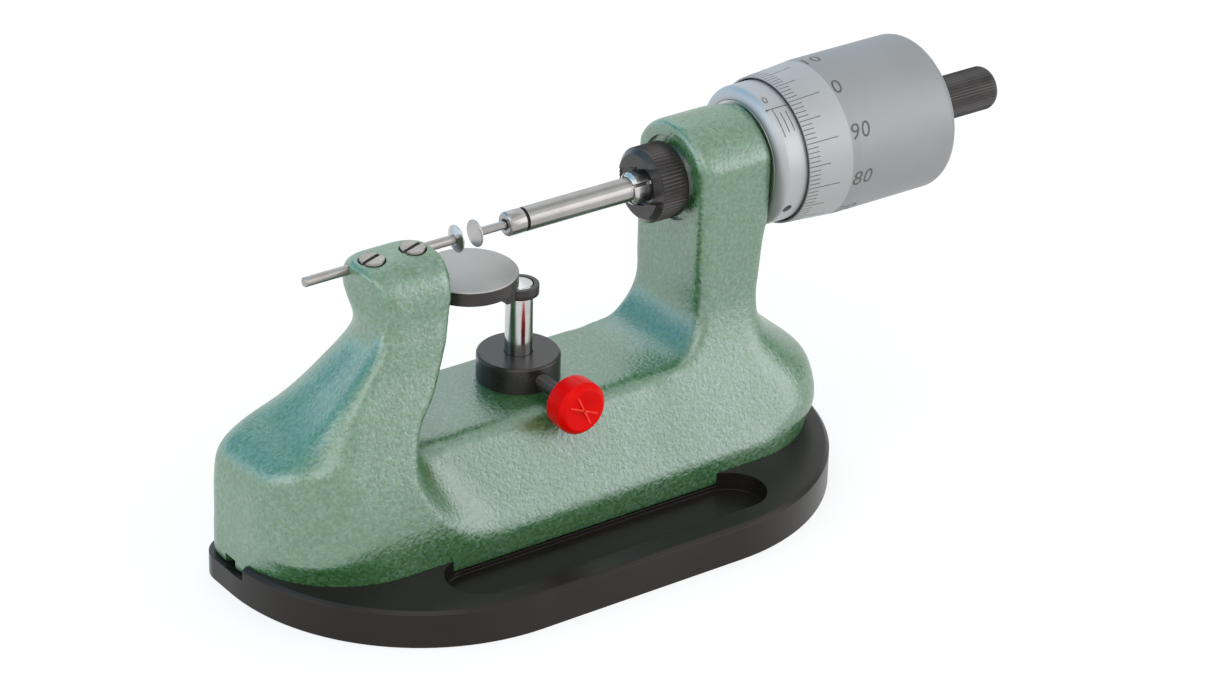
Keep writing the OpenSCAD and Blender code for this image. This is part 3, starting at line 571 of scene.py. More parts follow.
tree.links.new(spread(tree, dimples, 0.27, 0.4), shader.inputs["Roughness"])
relief(tree, shader, dimples, 0.085 * mm)
tree.links.new(shader.inputs["Normal"].links[0].from_socket, shader.inputs["Coat Normal"])
fitted("casting", cast_mesh, hammertone, "frame", "enamel", "frame_casting", even=False)


# Anvil
# Thin ground rod through the upright, with a dished disc pressed on its right end. Two slotted
# cheese-head screws are sunk beside it, and the rims of their heads hold it down.
rod_x0, anvil_face, disc_t, disc_r, disc_bevel, rim_share, disc_hub = -38.0, -11.7, 0.7, 2.1, 0.08, 0.35, 0.1
rod_r, rod_end_r, rod_taper = rod_d / 2, rod_d / 2 - 0.12, 0.14
steel_pale, steel_warm = (0.5, 0.485, 0.475, 1), (0.38, 0.36, 0.35, 1)
rod_dark, rod_light = (0.3, 0.28, 0.27, 1), (0.4, 0.38, 0.365, 1)
screw_dark, screw_light = (0.24, 0.215, 0.2, 1), (0.37, 0.345, 0.325, 1)


def ground_steel(name, dark, light, rough, stretch):
    """Bright ground steel: fine grinding marks across the direction of the wheel, faint tarnish."""
    finish, tree, shader = new_finish(name, Metallic=1.0)
    tarnish = noise(tree, 220, 4)
    marks = noise(tree, 2200, 3, stretch)
    tree.links.new(blended(tree, spread(tree, tarnish, 0, 1), dark, light), shader.inputs["Base Color"])
    tree.links.new(spread(tree, marks, *rough), shader.inputs["Roughness"])
    relief(tree, shader, marks, 0.004 * mm, 0.35)
    return finish


rod_steel = ground_steel("ground_rod", rod_dark, rod_light, rough=(0.28, 0.36), stretch=(6, 1, 1))
disc_steel = ground_steel("lapped_disc", steel_warm, steel_pale, rough=(0.16, 0.26), stretch=(1, 3, 3))
screw_steel = ground_steel("screw_steel", screw_dark, screw_light, rough=(0.22, 0.36), stretch=(1, 1, 1))
fitted("rod", turned_mesh([
    (0, rod_x0), (rod_end_r, rod_x0), (rod_r, rod_x0 + rod_taper), (rod_r, anvil_face - disc_t),
    (0, anvil_face - disc_t)], ease=0.04), rod_steel, "anvil", "steel", "anvil_rod")


def disc_mesh(face, away, hub_r):
    """Measuring disc with its lapped face at one side and a dished back on the other."""
    back = face + away * disc_t
    return turned_mesh([
        (0, face), (disc_r - disc_bevel, face), (disc_r, face + away * disc_bevel),
        (disc_r, face + away * disc_t * rim_share), (hub_r + disc_hub, back), (0, back)], ease=0.05)


fitted("fixed_disc", disc_mesh(anvil_face, -1, rod_r), disc_steel, "anvil", "steel", "anvil_disc")
for side in ("left", "right"):
    node = f"anvil_screw_{side}"
    fitted(f"{side}_cheese_head", eased_copy(node, 0.1 * mm), screw_steel, node, "steel", node)


# Spindle tip
# Collar that doesn't turn with the spindle; a thin stem carries the moving disc.
# Turned from one piece of steel and polished, with a shallow recess round the stem.
tip_face, collar_x0, collar_l, spindle_r, stem_r = -8.7, -3.3, 2.9, 1.875, 0.65
collar_x1, collar_bevel, recess_r, recess_x1 = collar_x0 + collar_l, 0.25, 0.9, collar_x0 + 0.4
pivot_r, pivot_x0 = 0.84, collar_x1 - 1.4
polished_dark, polished_light = (0.33, 0.315, 0.305, 1), (0.39, 0.375, 0.36, 1)
polished = ground_steel(
    "polished_steel", polished_dark, polished_light, rough=(0.21, 0.27), stretch=(8, 1, 1))
fitted("tip", turned_mesh([
    (0, tip_face + disc_t), (stem_r, tip_face + disc_t), (stem_r, recess_x1), (recess_r, recess_x1),
    (recess_r, collar_x0), (spindle_r - collar_bevel, collar_x0), (spindle_r, collar_x0 + collar_bevel),
    (spindle_r, collar_x1), (pivot_r, collar_x1), (pivot_r, pivot_x0), (0, pivot_x0)]), polished,
    "spindle_tip", "steel", "spindle_tip")
fitted("moving_disc", disc_mesh(tip_face, 1, stem_r), disc_steel, "spindle_tip", "steel", "tip_disc")


# Spindle
# Hardened cylinder, ground and polished, with a turned groove next to the collar and the measuring
# screw on its rear half, inside the head.
spindle_x0, pin_r, groove_r, screw_r = collar_x1 - 1.2, 0.8, spindle_r - 0.35, 3.0
groove_x0, groove_x1, groove_margin = spindle_x0 + 1.25, spindle_x0 + 1.7, 0.05
shank_x1, screw_x0, taper_x0, taper_x1, taper_r = 46.8, 47.4, 68.15, 71.15, screw_r - 0.6
# The spindle's groove is painted near black.
black_groove = mottled(
    "oily_groove", (0.006, 0.006, 0.006, 1), (0.02, 0.018, 0.016, 1), rough=(0.35, 0.6), scale=1800, detail=3,
    Metallic=0.0)
spindle = fitted("measuring_spindle", turned_mesh([
    (0, spindle_x0), (pin_r, spindle_x0), (pin_r, groove_x0), (groove_r, groove_x0), (groove_r, groove_x1),
    (spindle_r, groove_x1), (spindle_r, shank_x1), (screw_r, screw_x0), (screw_r, taper_x0),
    (taper_r, taper_x1), (0, taper_x1)]), polished, "drum", "steel", "spindle")


def part_finished(piece, finish, chosen):
    """Second finish on the faces that are chosen by their middle, in mm."""
    piece.data.materials.append(finish)
    for face in piece.data.polygons:
        if chosen(face.center / mm):
            face.material_index = 1


def off_axis(spot):
    """Distance of a spot from the measuring axis."""
    return math.hypot(spot.y, spot.z - axis_h)


def in_groove(spot):
    """Whether a spot lies in the spindle's groove."""
    beside = groove_x0 - groove_margin < spot.x < groove_x1 + groove_margin
    return beside and off_axis(spot) < spindle_r - groove_margin


part_finished(spindle, black_groove, in_groove)


# Head barrel
# Steel barrel pressed into the head upright. Only its slotted nose shows, in the middle of the lock nut;
# the nut that takes up play in the screw sits at its far end, inside the drum.
bright_dark, bright_light = (0.5, 0.49, 0.48, 1), (0.62, 0.61, 0.6, 1)
nose_steel = ground_steel("nose_steel", bright_dark, bright_light, rough=(0.26, 0.36), stretch=(8, 1, 1))
on_axis = Matrix.Translation((0, 0, axis_h * mm))
nose_turn = Matrix.Rotation(math.radians(56), 4, "X")
nose_mesh = eased_copy("head_barrel", 0.06 * mm)
nose_mesh.transform(on_axis @ nose_turn @ on_axis.inverted())
fitted("slotted_barrel", nose_mesh, nose_steel, "frame", "steel", "head_barrel")
finished("adjusting_nut", dull_zinc)


# Lock nut
# Blackened steel nut with a fine straight knurl and a wide slot across its front face for a spanner.
# It closes the slotted nose on the spindle.
nut_x0, nut_x1, nut_r, knurl_depth, nut_ridges = 20.7, 26.4, 5.9, 0.16, 64
nut_mouth_r, nut_thread_r, nut_lip_x1 = 3.0, 4.04, nut_x0 + 1.4
nut_nose_bevel, nut_nose_l, nut_rear_bevel, nut_rear_l = 0.9, 0.75, 0.4, 0.35
nut_knurl_x0, nut_knurl_x1 = nut_x0 + 0.8, nut_x1 - 0.4
slot_half, slot_depth, slot_reach, slot_turn = 2.75, 0.9, 8, math.radians(-20)
oxide_dark, oxide_light = (0.026, 0.0225, 0.021, 1), (0.05, 0.043, 0.0395, 1)
black_oxide = mottled(
    "black_oxide", oxide_dark, oxide_light, rough=(0.24, 0.36), scale=380, detail=4,
    grain=(2400, (1, 1, 1), 0.01 * mm, 0.4), Metallic=0.35)
nut_body = turned_mesh([
    (nut_mouth_r, nut_x0), (nut_r - nut_nose_bevel, nut_x0), (nut_r - knurl_depth, nut_x0 + nut_nose_l),
    (nut_r - knurl_depth, nut_x1 - nut_rear_l), (nut_r - nut_rear_bevel, nut_x1), (nut_thread_r, nut_x1),
    (nut_thread_r, nut_lip_x1), (nut_mouth_r, nut_lip_x1)], ease=0.12, segments=128)
spanner_slot = box_mesh(
    (nut_x0 - 1, -slot_reach, -slot_half), (nut_x0 + slot_depth, slot_reach, slot_half),
    on_axis @ Matrix.Rotation(slot_turn, 4, "X"))
nut_body = cut_away(nut_body, [spanner_slot])
fitted("knurled_lock_nut", nut_body, black_oxide, "lock_nut", "black_steel", "lock_nut")


def new_tree(name, output, *sockets):
    """Node tree with named inputs and one geometry output; returned with the sockets of its inputs."""
    tree = bpy.data.node_groups.new(name, "GeometryNodeTree")
    for socket in sockets:
        kind = {"Count": "Int", "Finish": "Material"}.get(socket, "Float")
        tree.interface.new_socket(socket, in_out="INPUT", socket_type=f"NodeSocket{kind}")
    tree.interface.new_socket(output, in_out="OUTPUT", socket_type="NodeSocketGeometry")
    return tree, add_node(tree, "NodeGroupInput").outputs


def shaped(tree, kind, **inputs):
    """First output of a new geometry node; underscores stand for the spaces in its inputs' names."""
    named = {socket.replace("_", " "): value for socket, value in inputs.items()}
    return add_node(tree, f"GeometryNode{kind}", named).outputs[0]


def handed_out(tree, output, marks, finish):
    """Realizes the instances of a tree, gives them their finish and leads them to its output."""
    real = shaped(tree, "RealizeInstances", Geometry=marks)
    done = shaped(tree, "SetMaterial", Geometry=real, Material=finish)
    add_node(tree, "NodeGroupOutput", {output: done})


def vector(tree, x=0.0, y=0.0, z=0.0):
    """Vector of three values or node outputs."""
    return add_node(tree, "ShaderNodeCombineXYZ", {0: x, 1: y, 2: z}).outputs[0]


def bars_tree(name, ridge):
    """Node tree: bars or ridges set round the measuring axis, every fifth and tenth with its own length."""
    tree, given = new_tree(
        name, "Bars", "Count", "First", "Step", "Radius", "Start", "Length", "Fifth", "Tenth", "Width",
        "Depth", "Slope", "Axis height", "Finish")
    index = shaped(tree, "InputIndex")
    top = maths(tree, "ADD", given["Axis height"], given["Radius"])
    points = shaped(tree, "Points", Count=given["Count"], Position=vector(tree, given["Start"], 0.0, top))
    if ridge:
        bar = shaped(tree, "MeshCylinder", Vertices=4, Radius=0.5, Depth=1.0)
        lie = Euler((0, math.pi / 2, 0))
    else:
        bar = shaped(tree, "MeshCube")
        lie = Euler((0, 0, 0))
    bar = shaped(tree, "Transform", Geometry=bar, Rotation=lie, Translation=(0.5, 0, 0))
    length = given["Length"]
    for n, shorter, longer in ((5, "Length", "Fifth"), (10, "Fifth", "Tenth")):
        is_nth = maths(tree, "LESS_THAN", maths(tree, "MODULO", index, n), 0.5)
        gain = maths(tree, "SUBTRACT", given[longer], given[shorter])
        length = maths(tree, "ADD", length, maths(tree, "MULTIPLY", is_nth, gain))
    tilt = add_node(tree, "FunctionNodeEulerToRotation", {0: vector(tree, 0.0, given["Slope"])}).outputs[0]
    size = vector(tree, length, given["Width"], given["Depth"])
    marks = shaped(tree, "InstanceOnPoints", Points=points, Instance=bar, Rotation=tilt, Scale=size)
    angle = maths(tree, "ADD", given["First"], maths(tree, "MULTIPLY", given["Step"], index))
    roll = add_node(tree, "FunctionNodeEulerToRotation", {0: vector(tree, angle)}).outputs[0]
    middle = vector(tree, z=given["Axis height"])
    marks = shaped(
        tree, "RotateInstances", Instances=marks, Rotation=roll, Pivot_Point=middle, Local_Space=False)
    handed_out(tree, "Bars", marks, given["Finish"])
    return tree


def grown(tree, **sizes):
    """Plain mesh that a node tree makes from its named inputs."""
    holder = scratch_object(bpy.data.meshes.new("grown"))
    grow = holder.modifiers.new("grow", "NODES")
    grow.node_group = tree
    for item in tree.interface.items_tree:
        if item.in_out == "INPUT":
            grow[item.identifier] = sizes[item.name.replace(" ", "_")]
    mesh = evaluated_mesh(holder)
    holder.modifiers.remove(grow)
    bpy.data.objects.remove(holder)
    return mesh


ridges = bars_tree("knurl_ridges", ridge=True)


def straight_knurl(count, radius, x0, x1, finish):
    """Ridges of a straight knurl whose crests reach the radius."""
    pitch = 2 * math.pi * radius / count
    length = (x1 - x0) * mm
    return grown(
        ridges, Count=count, First=0.0, Step=2 * math.pi / count, Radius=(radius - pitch * 0.45) * mm,
        Start=x0 * mm, Length=length, Fifth=length, Tenth=length, Width=pitch * 0.95 * mm,
        Depth=pitch * 0.9 * mm, Slope=0.0, Axis_height=axis_h * mm, Finish=finish)


nut_knurl_mesh = straight_knurl(nut_ridges, nut_r, nut_knurl_x0, nut_knurl_x1, black_oxide)
fitted("lock_nut_knurl", nut_knurl_mesh, black_oxide, "lock_nut", "black_steel", even=False)


# Scale sleeve
# Satin-chromed sleeve that is turned on the barrel with a pin spanner to set zero. Its millimetre lines and
# figures are engraved and filled with black.
sleeve_x0, sleeve_x1, sleeve_r, core_r, sleeve_round = 39.85, 59.85, 11.0, 9.0, 1.4
zero_angle, zero_x, reading_x0, reading_l = math.radians(28.2), 41.55, 40.5, 14.0
hole_angle, hole_x, hole_r, hole_low, hole_high = math.radians(119), 41.95, 0.8, 8, 14
line_w, line_proud, figure_h, figure_angle = 0.15, 0.015, 1.35, math.radians(18.1)


def satin_chrome(name, dark, light, rough):
    """Satin chrome with faint rings from turning, and soft clouds in its gloss."""
    turning_rings = (3200, (1, 0.01, 0.01), 0.004 * mm, 0.5)
    return mottled(name, dark, light, rough, scale=90, detail=3, grain=turning_rings, Metallic=1.0)


sleeve_chrome = satin_chrome("sleeve_chrome", (0.45, 0.45, 0.455, 1), (0.5, 0.5, 0.505, 1), (0.5, 0.58))
fill_dark, fill_worn = (0.05, 0.047, 0.042, 1), (0.13, 0.122, 0.108, 1)
engraving = mottled(
    "engraving_black", fill_dark, fill_worn, rough=(0.5, 0.7), scale=2600, detail=3, Metallic=0.0)
front_round = [
    (core_r + (sleeve_r - core_r) * math.sin(a), sleeve_x0 + sleeve_round * (1 - math.cos(a)))
    for a in np.linspace(0, math.pi / 2, 9)]
sleeve_mesh = turned_mesh([*front_round, (sleeve_r, sleeve_x1), (core_r, sleeve_x1)], ease=0.1, segments=192)
spanner_hole = drill((hole_r, hole_low, hole_high), axis="Z", centre=(0, 0, 0), segments=40)
spanner_hole.transform(
    Matrix.Translation(Vector((hole_x, 0, axis_h)) * mm) @ Matrix.Rotation(hole_angle, 4, "X"))
sleeve_mesh = cut_away(sleeve_mesh, [spanner_hole])
fitted("sleeve", sleeve_mesh, sleeve_chrome, "scale_sleeve", "satin_chrome", "scale_sleeve")


def arcs_tree():
    """Node tree: short arcs round the measuring axis, one every pitch, every fifth one longer."""
    tree, given = new_tree(
        "millimetre_arcs", "Arcs", "Count", "Pitch", "Start", "Radius", "First", "Sweep", "Long first",
        "Long sweep", "Width", "Axis height", "Finish")
    index = shaped(tree, "InputIndex")
    is_long = maths(tree, "LESS_THAN", maths(tree, "MODULO", index, 5.0), 0.5)
    is_short = maths(tree, "SUBTRACT", 1.0, is_long)
    first = vector(tree, given["Start"], 0.0, given["Axis height"])
    step = vector(tree, given["Pitch"])
    line = shaped(tree, "MeshLine", Count=given["Count"], Start_Location=first, Offset=step)
    section = shaped(tree, "CurvePrimitiveQuadrilateral", Width=given["Width"], Height=given["Width"])
    upright = Matrix(((0, 0, 1), (0, -1, 0), (1, 0, 0))).to_euler()
    joined = add_node(tree, "GeometryNodeJoinGeometry")
    for start, sweep, chosen in (("First", "Sweep", is_short), ("Long first", "Long sweep", is_long)):
        arc = shaped(
            tree, "CurveArc", Resolution=14, Radius=given["Radius"], Start_Angle=given[start],
            Sweep_Angle=given[sweep])
        strip = shaped(tree, "CurveToMesh", Curve=arc, Profile_Curve=section, Fill_Caps=True)
        strip = shaped(tree, "Transform", Geometry=strip, Rotation=upright)
        lines = shaped(tree, "InstanceOnPoints", Points=line, Selection=chosen, Instance=strip)
        tree.links.new(lines, joined.inputs[0])
    handed_out(tree, "Arcs", joined.outputs[0], given["Finish"])
    return tree


def figure_mesh(text, height, thick, strips=8):
    """Plain figure as a thin closed mesh in mm, cut into strips so that it can follow a curve."""
    curve = bpy.data.curves.new("figure", "FONT")
    curve.body, curve.align_x, curve.align_y = text, "CENTER", "CENTER"
    curve.shear, curve.resolution_u, curve.extrude, curve.space_character = 0.12, 3, 0.02, 1.08
    holder = scratch_object(curve)
    mesh = evaluated_mesh(holder)
    bpy.data.objects.remove(holder)
    bm = bmesh.new()
    bm.from_mesh(mesh)
    bmesh.ops.remove_doubles(bm, verts=bm.verts, dist=1e-5)
    co = np.array([v.co for v in bm.verts])
    low, high = co.min(0), co.max(0)
    scale = height / (high[1] - low[1])
    for v in bm.verts:
        v.co = ((v.co.x - (low[0] + high[0]) / 2) * scale, (v.co.y - (low[1] + high[1]) / 2) * scale,
                thick if v.co.z > 0 else -thick)
    for k in range(1 - strips // 2, strips // 2):
        bmesh.ops.bisect_plane(
            bm, geom=bm.verts[:] + bm.edges[:] + bm.faces[:], plane_co=(0, k * height / strips, 0),
            plane_no=(0, 1, 0))
    bm.to_mesh(mesh)
    bm.free()
    return mesh


def wrapped(mesh, x, angle, radius_at):
    """Lays a flat figure round the measuring axis, its head towards the top."""
    for v in mesh.vertices:
        at = x + v.co.x
        r = radius_at(at)
        a = angle - v.co.y / r
        v.co = Vector((at, -(r + v.co.z) * math.sin(a), axis_h + (r + v.co.z) * math.cos(a))) * mm
    return mesh


line_r = sleeve_r + line_proud - line_w / 2
millimetres = grown(
    arcs_tree(), Count=11, Pitch=1.0 * mm, Start=zero_x * mm, Radius=line_r * mm,
    First=zero_angle + math.radians(5), Sweep=math.radians(18), Long_first=zero_angle,
    Long_sweep=math.radians(26), Width=line_w * mm, Axis_height=axis_h * mm, Finish=engraving)
bars = bars_tree("straight_lines", ridge=False)
reading_line = grown(
    bars, Count=1, First=zero_angle, Step=0.0, Radius=line_r * mm, Start=reading_x0 * mm,
    Length=reading_l * mm, Fifth=reading_l * mm, Tenth=reading_l * mm, Width=line_w * mm,
    Depth=line_w * mm, Slope=0.0, Axis_height=axis_h * mm, Finish=engraving)
sleeve_figures = [
    wrapped(figure_mesh(text, figure_h, thick=0.012), zero_x + 5 * k, figure_angle, lambda x: sleeve_r)
    for k, text in enumerate(("0", "5", "10"))]
sleeve_marks = joined_mesh([millimetres, reading_line, *sleeve_figures])
fitted("sleeve_scale", sleeve_marks, engraving, "scale_sleeve", "satin_chrome", even=False)


# Drum
# Large satin-chromed drum, clamped on the spindle's taper. A hundred lines are engraved on the fine-blasted
# cone at its front edge, a longer one every five and every ten, with plain figures behind them.
drum_x0, drum_x1, cone_l, drum_edge_r, drum_r = 44.55, 73.15, 9.3, 11.55, 12.3
drum_bore_r, drum_web, drum_round, hub_r = 11.25, 5, 2, 6.0
blasted_x1, figures_x0, drum_figure_h, division_w = 52.4, 52.65, 2.5, 0.13
drum_chrome = satin_chrome(
    "drum_chrome", (0.33, 0.328, 0.33, 1), (0.375, 0.372, 0.373, 1), (0.58, 0.66))
blasted = satin_chrome("blasted_cone", (0.43, 0.43, 0.43, 1), (0.48, 0.48, 0.475, 1), (0.58, 0.66))


def drum_radius(x):
    """Outer radius of the drum: a slim cone, then a cylinder."""
    return mix(drum_edge_r, drum_r, min(1, (x - drum_x0) / cone_l))


def rear_round(r, x1, edge, steps):
    """Quarter round from a turned piece's outer radius into its rear face."""
    turns = np.linspace(0, math.pi / 2, steps)
    return [(r - edge * (1 - math.cos(a)), x1 - edge * (1 - math.sin(a))) for a in turns]


rear_arc = rear_round(drum_r, drum_x1, drum_round, steps=9)
drum = fitted("drum_shell", turned_mesh([
    (drum_bore_r, drum_x0), (drum_edge_r, drum_x0), (drum_radius(blasted_x1), blasted_x1),
    (drum_r, drum_x0 + cone_l), *rear_arc, (hub_r, drum_x1), (hub_r, drum_x1 - drum_web),
    (drum_bore_r, drum_x1 - drum_web)], ease=0.1, segments=192), drum_chrome, "drum", "satin_chrome", "drum")
part_finished(
    drum, blasted, lambda spot: spot.x < blasted_x1 and off_axis(spot) > drum_edge_r - 0.1)
divisions = grown(
    bars, Count=100, First=zero_angle, Step=math.radians(3.6),
    Radius=(drum_edge_r + line_proud - division_w / 2) * mm, Start=(drum_x0 + 0.04) * mm, Length=1.95 * mm,
    Fifth=3.75 * mm, Tenth=5.65 * mm, Width=division_w * mm, Depth=division_w * mm,
    Slope=-math.atan((drum_r - drum_edge_r) / cone_l), Axis_height=axis_h * mm, Finish=engraving)
drum_figures = []
for k in range(10):
    figure = figure_mesh(str(10 * k), drum_figure_h, thick=0.014)
    left_end = min(v.co.x for v in figure.vertices)
    turn = zero_angle + math.radians(36 * (10 - k))
    drum_figures.append(wrapped(figure, figures_x0 - left_end, turn, drum_radius))
fitted("drum_scale", joined_mesh([divisions, *drum_figures]), engraving, "drum", "satin_chrome", even=False)
finished("drum_hub", dull_zinc)


# Friction knob
# Small black knob with a fine straight knurl. It slips on the hub once the measuring force is reached;
# a spring and its screw sit in the pocket in its end.
knob_x0, knob_x1, knob_r, knob_round, knob_ridges = 73.2, 88.6, 3.5, 1, 48
knob_bore_r, knob_web, pocket_r = 1.54, 3, 2.4
knob_core_r, knob_nose_r, knob_nose_l, knob_straight_x1 = knob_r - 0.1, knob_r - 0.5, 0.4, knob_x1 - 1.6
knob_knurl_x0, knob_knurl_x1 = knob_x0 + 1.1, knob_x1 - 1.0
knob_arc = rear_round(knob_core_r, knob_x1, knob_round, steps=6)
knob_body = turned_mesh([
    (knob_bore_r, knob_x0), (knob_nose_r, knob_x0), (knob_core_r, knob_x0 + knob_nose_l),
    (knob_core_r, knob_straight_x1), *knob_arc, (pocket_r, knob_x1), (pocket_r, knob_x0 + knob_web),
    (knob_bore_r, knob_x0 + knob_web)], ease=0.08)
fitted("slipping_knob", knob_body, black_oxide, "friction_knob", "black_steel", "friction_knob")
knob_knurl_mesh = straight_knurl(knob_ridges, knob_r, knob_knurl_x0, knob_knurl_x1, black_oxide)
fitted("slipping_knob_knurl", knob_knurl_mesh, black_oxide, "friction_knob", "black_steel", even=False)
finished("friction_spring", dull_zinc)
finished("knob_screw", screw_steel)


# Table bush and post
# Blackened bush pressed into the bridge and cross-tapped for the clamp screw; the bright ground post
# slides in it and carries the work table.
bush_r, bush_top, bush_bevel, clamp_z = 6.4, 26.0, 0.3, 23.7
cross_bore_r, cross_y0, cross_y1 = 1.24, 1, 9
pillar_r, pillar_z0, pillar_z1, pillar_bevel = 2.125, 17.0, 37.4, 0.2
slide_r = pillar_r + 0.04
bush_mesh = turned_mesh([
    (slide_r, bush_foot), (bush_neck_r, bush_foot), (bush_neck_r, bridge_top), (bush_r, bridge_top),
    (bush_r, bush_top - bush_bevel), (bush_r - bush_bevel, bush_top), (slide_r, bush_top)],
    axis="Z", centre=(table_x, 0, 0), ease=0.1, segments=128)
cross_hole = drill((cross_bore_r, cross_y0, cross_y1), axis="Y", centre=(table_x, 0, clamp_z), segments=48)
fitted("bush", cut_away(bush_mesh, [cross_hole]), black_oxide, "frame", "black_steel", "table_bush")
pillar_steel = ground_steel("pillar_steel", bright_dark, bright_light, rough=(0.13, 0.2), stretch=(1, 1, 8))
fitted("pillar", turned_mesh([
    (0, pillar_z0), (pillar_r - pillar_bevel, pillar_z0), (pillar_r, pillar_z0 + pillar_bevel),
    (pillar_r, pillar_z1 - pillar_bevel), (pillar_r - pillar_bevel, pillar_z1), (0, pillar_z1)],
    axis="Z", centre=(table_x, 0, 0), ease=0.05), pillar_steel, "table_post", "steel", "table_post")


# Work table
# Round table with a ground top and a blackened rim, screwed from below on a cranked arm
# whose eye sits on the post.
table_at, table_r, table_z0, table_z1 = (-10.08, -0.67, 0), 7.45, 40.05, 42.45
table_foot, table_rim, ground_depth = 0.25, 0.2, 0.12
fitted("cranked_arm", eased_copy("table_arm", 0.12 * mm), black_oxide, "table", "black_steel", "table_arm")
table_top = mottled(
    "ground_table_top", (0.42, 0.39, 0.365, 1), (0.485, 0.455, 0.43, 1), rough=(0.5, 0.6), scale=160,
    detail=4, grain=(2600, (1, 0.04, 1), 0.004 * mm, 0.4), Metallic=1.0)
work_table = fitted("round_table", turned_mesh([
    (0, table_z0), (table_r - table_foot, table_z0), (table_r, table_z0 + table_foot),
    (table_r, table_z1 - table_rim), (table_r - table_rim, table_z1), (1.0, table_z1), (0, table_z1)],
    axis="Z", centre=table_at, segments=128), black_oxide, "table", "ground_steel", "table_disc")
part_finished(work_table, table_top, lambda spot: spot.z > table_z1 - ground_depth)
finished("table_screw", dull_zinc)


# Table clamp
# Fine-threaded black screw through the bush, with a moulded red knob on its outer end and a brass pad that
# presses on the post. The knob has faint flutes and a dished front with two thin crossed ribs; their lighter
# red is a painted highlight.
thread_y0, thread_y1, thread_r, thread_pitch = 3.025, 14.9, 1.2, 0.45
thread_root_r, crest_start, crest_end, plain_end = thread_r - 0.17, 0.18, 0.27, 0.1
crests = []
for k in range(int((thread_y1 - thread_y0) / thread_pitch)):
    start = thread_y0 + plain_end + k * thread_pitch
    crests += [(thread_root_r, start), (thread_r, start + crest_start), (thread_r, start + crest_end)]
fitted("clamping_screw", turned_mesh(
    [(0, thread_y0), *crests, (thread_root_r, thread_y1), (0, thread_y1)],
    axis="Y", centre=(table_x, 0, clamp_z), ease=0, segments=48), black_oxide,
    "clamp", "black_steel", "clamp_screw", even=False)

knob_y, red_l, socket_r, socket_depth, dish, dish_r = 12.5, 5.0, 1.2, 2.4, 0.5, 3.15
flutes, flute_r, flute_at, around = 6, 1.3, 5.42, 144
red_gloss = mottled(
    "glossy_red", (0.62, 0.0015, 0.001, 1), (0.7, 0.003, 0.0015, 1), rough=(0.28, 0.38), scale=260,
    detail=3, grain=(700, (1, 1, 1), 0.012 * mm, 0.3), Metallic=0.0, Specular_IOR_Level=0.07)
# Painted highlight: the ribs' lighter red stands in for the knob's glint.
rib_glint_red = mottled(
    "rubbed_red", (0.8, 0.02, 0.01, 1), (0.95, 0.07, 0.04, 1), rough=(0.35, 0.5), scale=1500, detail=3,
    Metallic=0.0, Specular_IOR_Level=0.2)


def fluted(r, a):
    """Radius at an angle, where the flutes cut into a round of radius r."""
    off = abs((a + math.pi / flutes) % (2 * math.pi / flutes) - math.pi / flutes)
    side = flute_at * math.sin(off)
    if side >= flute_r:
        return r
    return min(r, flute_at * math.cos(off) - math.sqrt(flute_r ** 2 - side ** 2))


def knob_ring(bm, r, depth, is_fluted=False):
    """Ring of points round the clamp screw, at a depth in front of the knob's back."""
    ring = []
    for a in (2 * math.pi * k / around for k in range(around)):
        at = fluted(r, a) if is_fluted else r
        spot = (table_x + at * math.sin(a), -knob_y - depth, clamp_z + at * math.cos(a))
        ring.append(bm.verts.new(Vector(spot) * mm))
    return ring


bm = bmesh.new()
back = [knob_ring(bm, r, depth) for r, depth in ((socket_r, 0), (3.0, 0), (3.25, 0.12))]
grip = [knob_ring(bm, r, depth, True) for r, depth in (
    (4.05, 0.95), (4.2, 1.25), (4.2, 3.95), (4.12, 4.2), (3.5, 4.86))]
front = [knob_ring(bm, r, depth) for r, depth in ((3.32, 4.97), (dish_r, red_l))]
front += [knob_ring(bm, r, red_l - dish * (1 - r / dish_r)) for r in np.linspace(3.0, 0.15, 12)]
skinned(bm, [knob_ring(bm, socket_r, socket_depth), *back, *grip, *front])
bmesh.ops.recalc_face_normals(bm, faces=bm.faces)
fitted("red_knob", mesh_of(bm, "red_knob"), red_gloss, "clamp", "red_plastic", "clamp_knob")
knob_face = Matrix.Translation(Vector((table_x, -knob_y - red_l, clamp_z)) * mm)
rib_half, rib_l = 0.11, 2.7
rib_mesh = joined_mesh([
    box_mesh((-rib_l, 0, -rib_half), (rib_l, dish + 0.1, rib_half),
             knob_face @ Matrix.Rotation(math.radians(-a), 4, "Y"))
    for a in (115, 156)])
fitted("red_knob_ribs", rib_mesh, rib_glint_red, "clamp", "red_plastic")
brass = mottled(
    "turned_brass", (0.45, 0.3, 0.1, 1), (0.66, 0.47, 0.18, 1), rough=(0.25, 0.4), scale=900, detail=3,
    Metallic=1.0)
finished("clamp_pad", brass)


# Studio
# Pale floor under four soft boxes and a pale sky with a dark ring high up, a bluish dusk at the rear left
# and a small gloom at the right, which the metal mirrors. The camera stands where the photograph was taken.
floor_white, floor_glow, glow_share = (0.92, 0.92, 0.92, 1), 1.04, 0.72
bm = bmesh.new()
bmesh.ops.create_circle(bm, cap_ends=True, radius=4.0, segments=96)
floor_mesh = mesh_of(bm, "floor")
pale_floor, tree, shader = new_finish(
    "pale_floor", Base_Color=floor_white, Roughness=0.9, Specular_IOR_Level=0.0)
path = add_node(tree, "ShaderNodeLightPath").outputs
seen = maths(tree, "MAXIMUM", path["Is Camera Ray"], path["Is Glossy Ray"])
seen = maths(tree, "MAXIMUM", seen, path["Is Transmission Ray"])
glow = add_node(tree, "ShaderNodeEmission", {"Color": (1, 1, 1, 1), "Strength": floor_glow}).outputs[0]
both = add_node(tree, "ShaderNodeMixShader", {
    0: maths(tree, "MULTIPLY", seen, glow_share), 1: shader.outputs[0], 2: glow}).outputs[0]
tree.links.new(both, tree.nodes["Material Output"].inputs["Surface"])
floor_mesh.materials.append(pale_floor)
floor = bpy.data.objects.new("floor", floor_mesh)
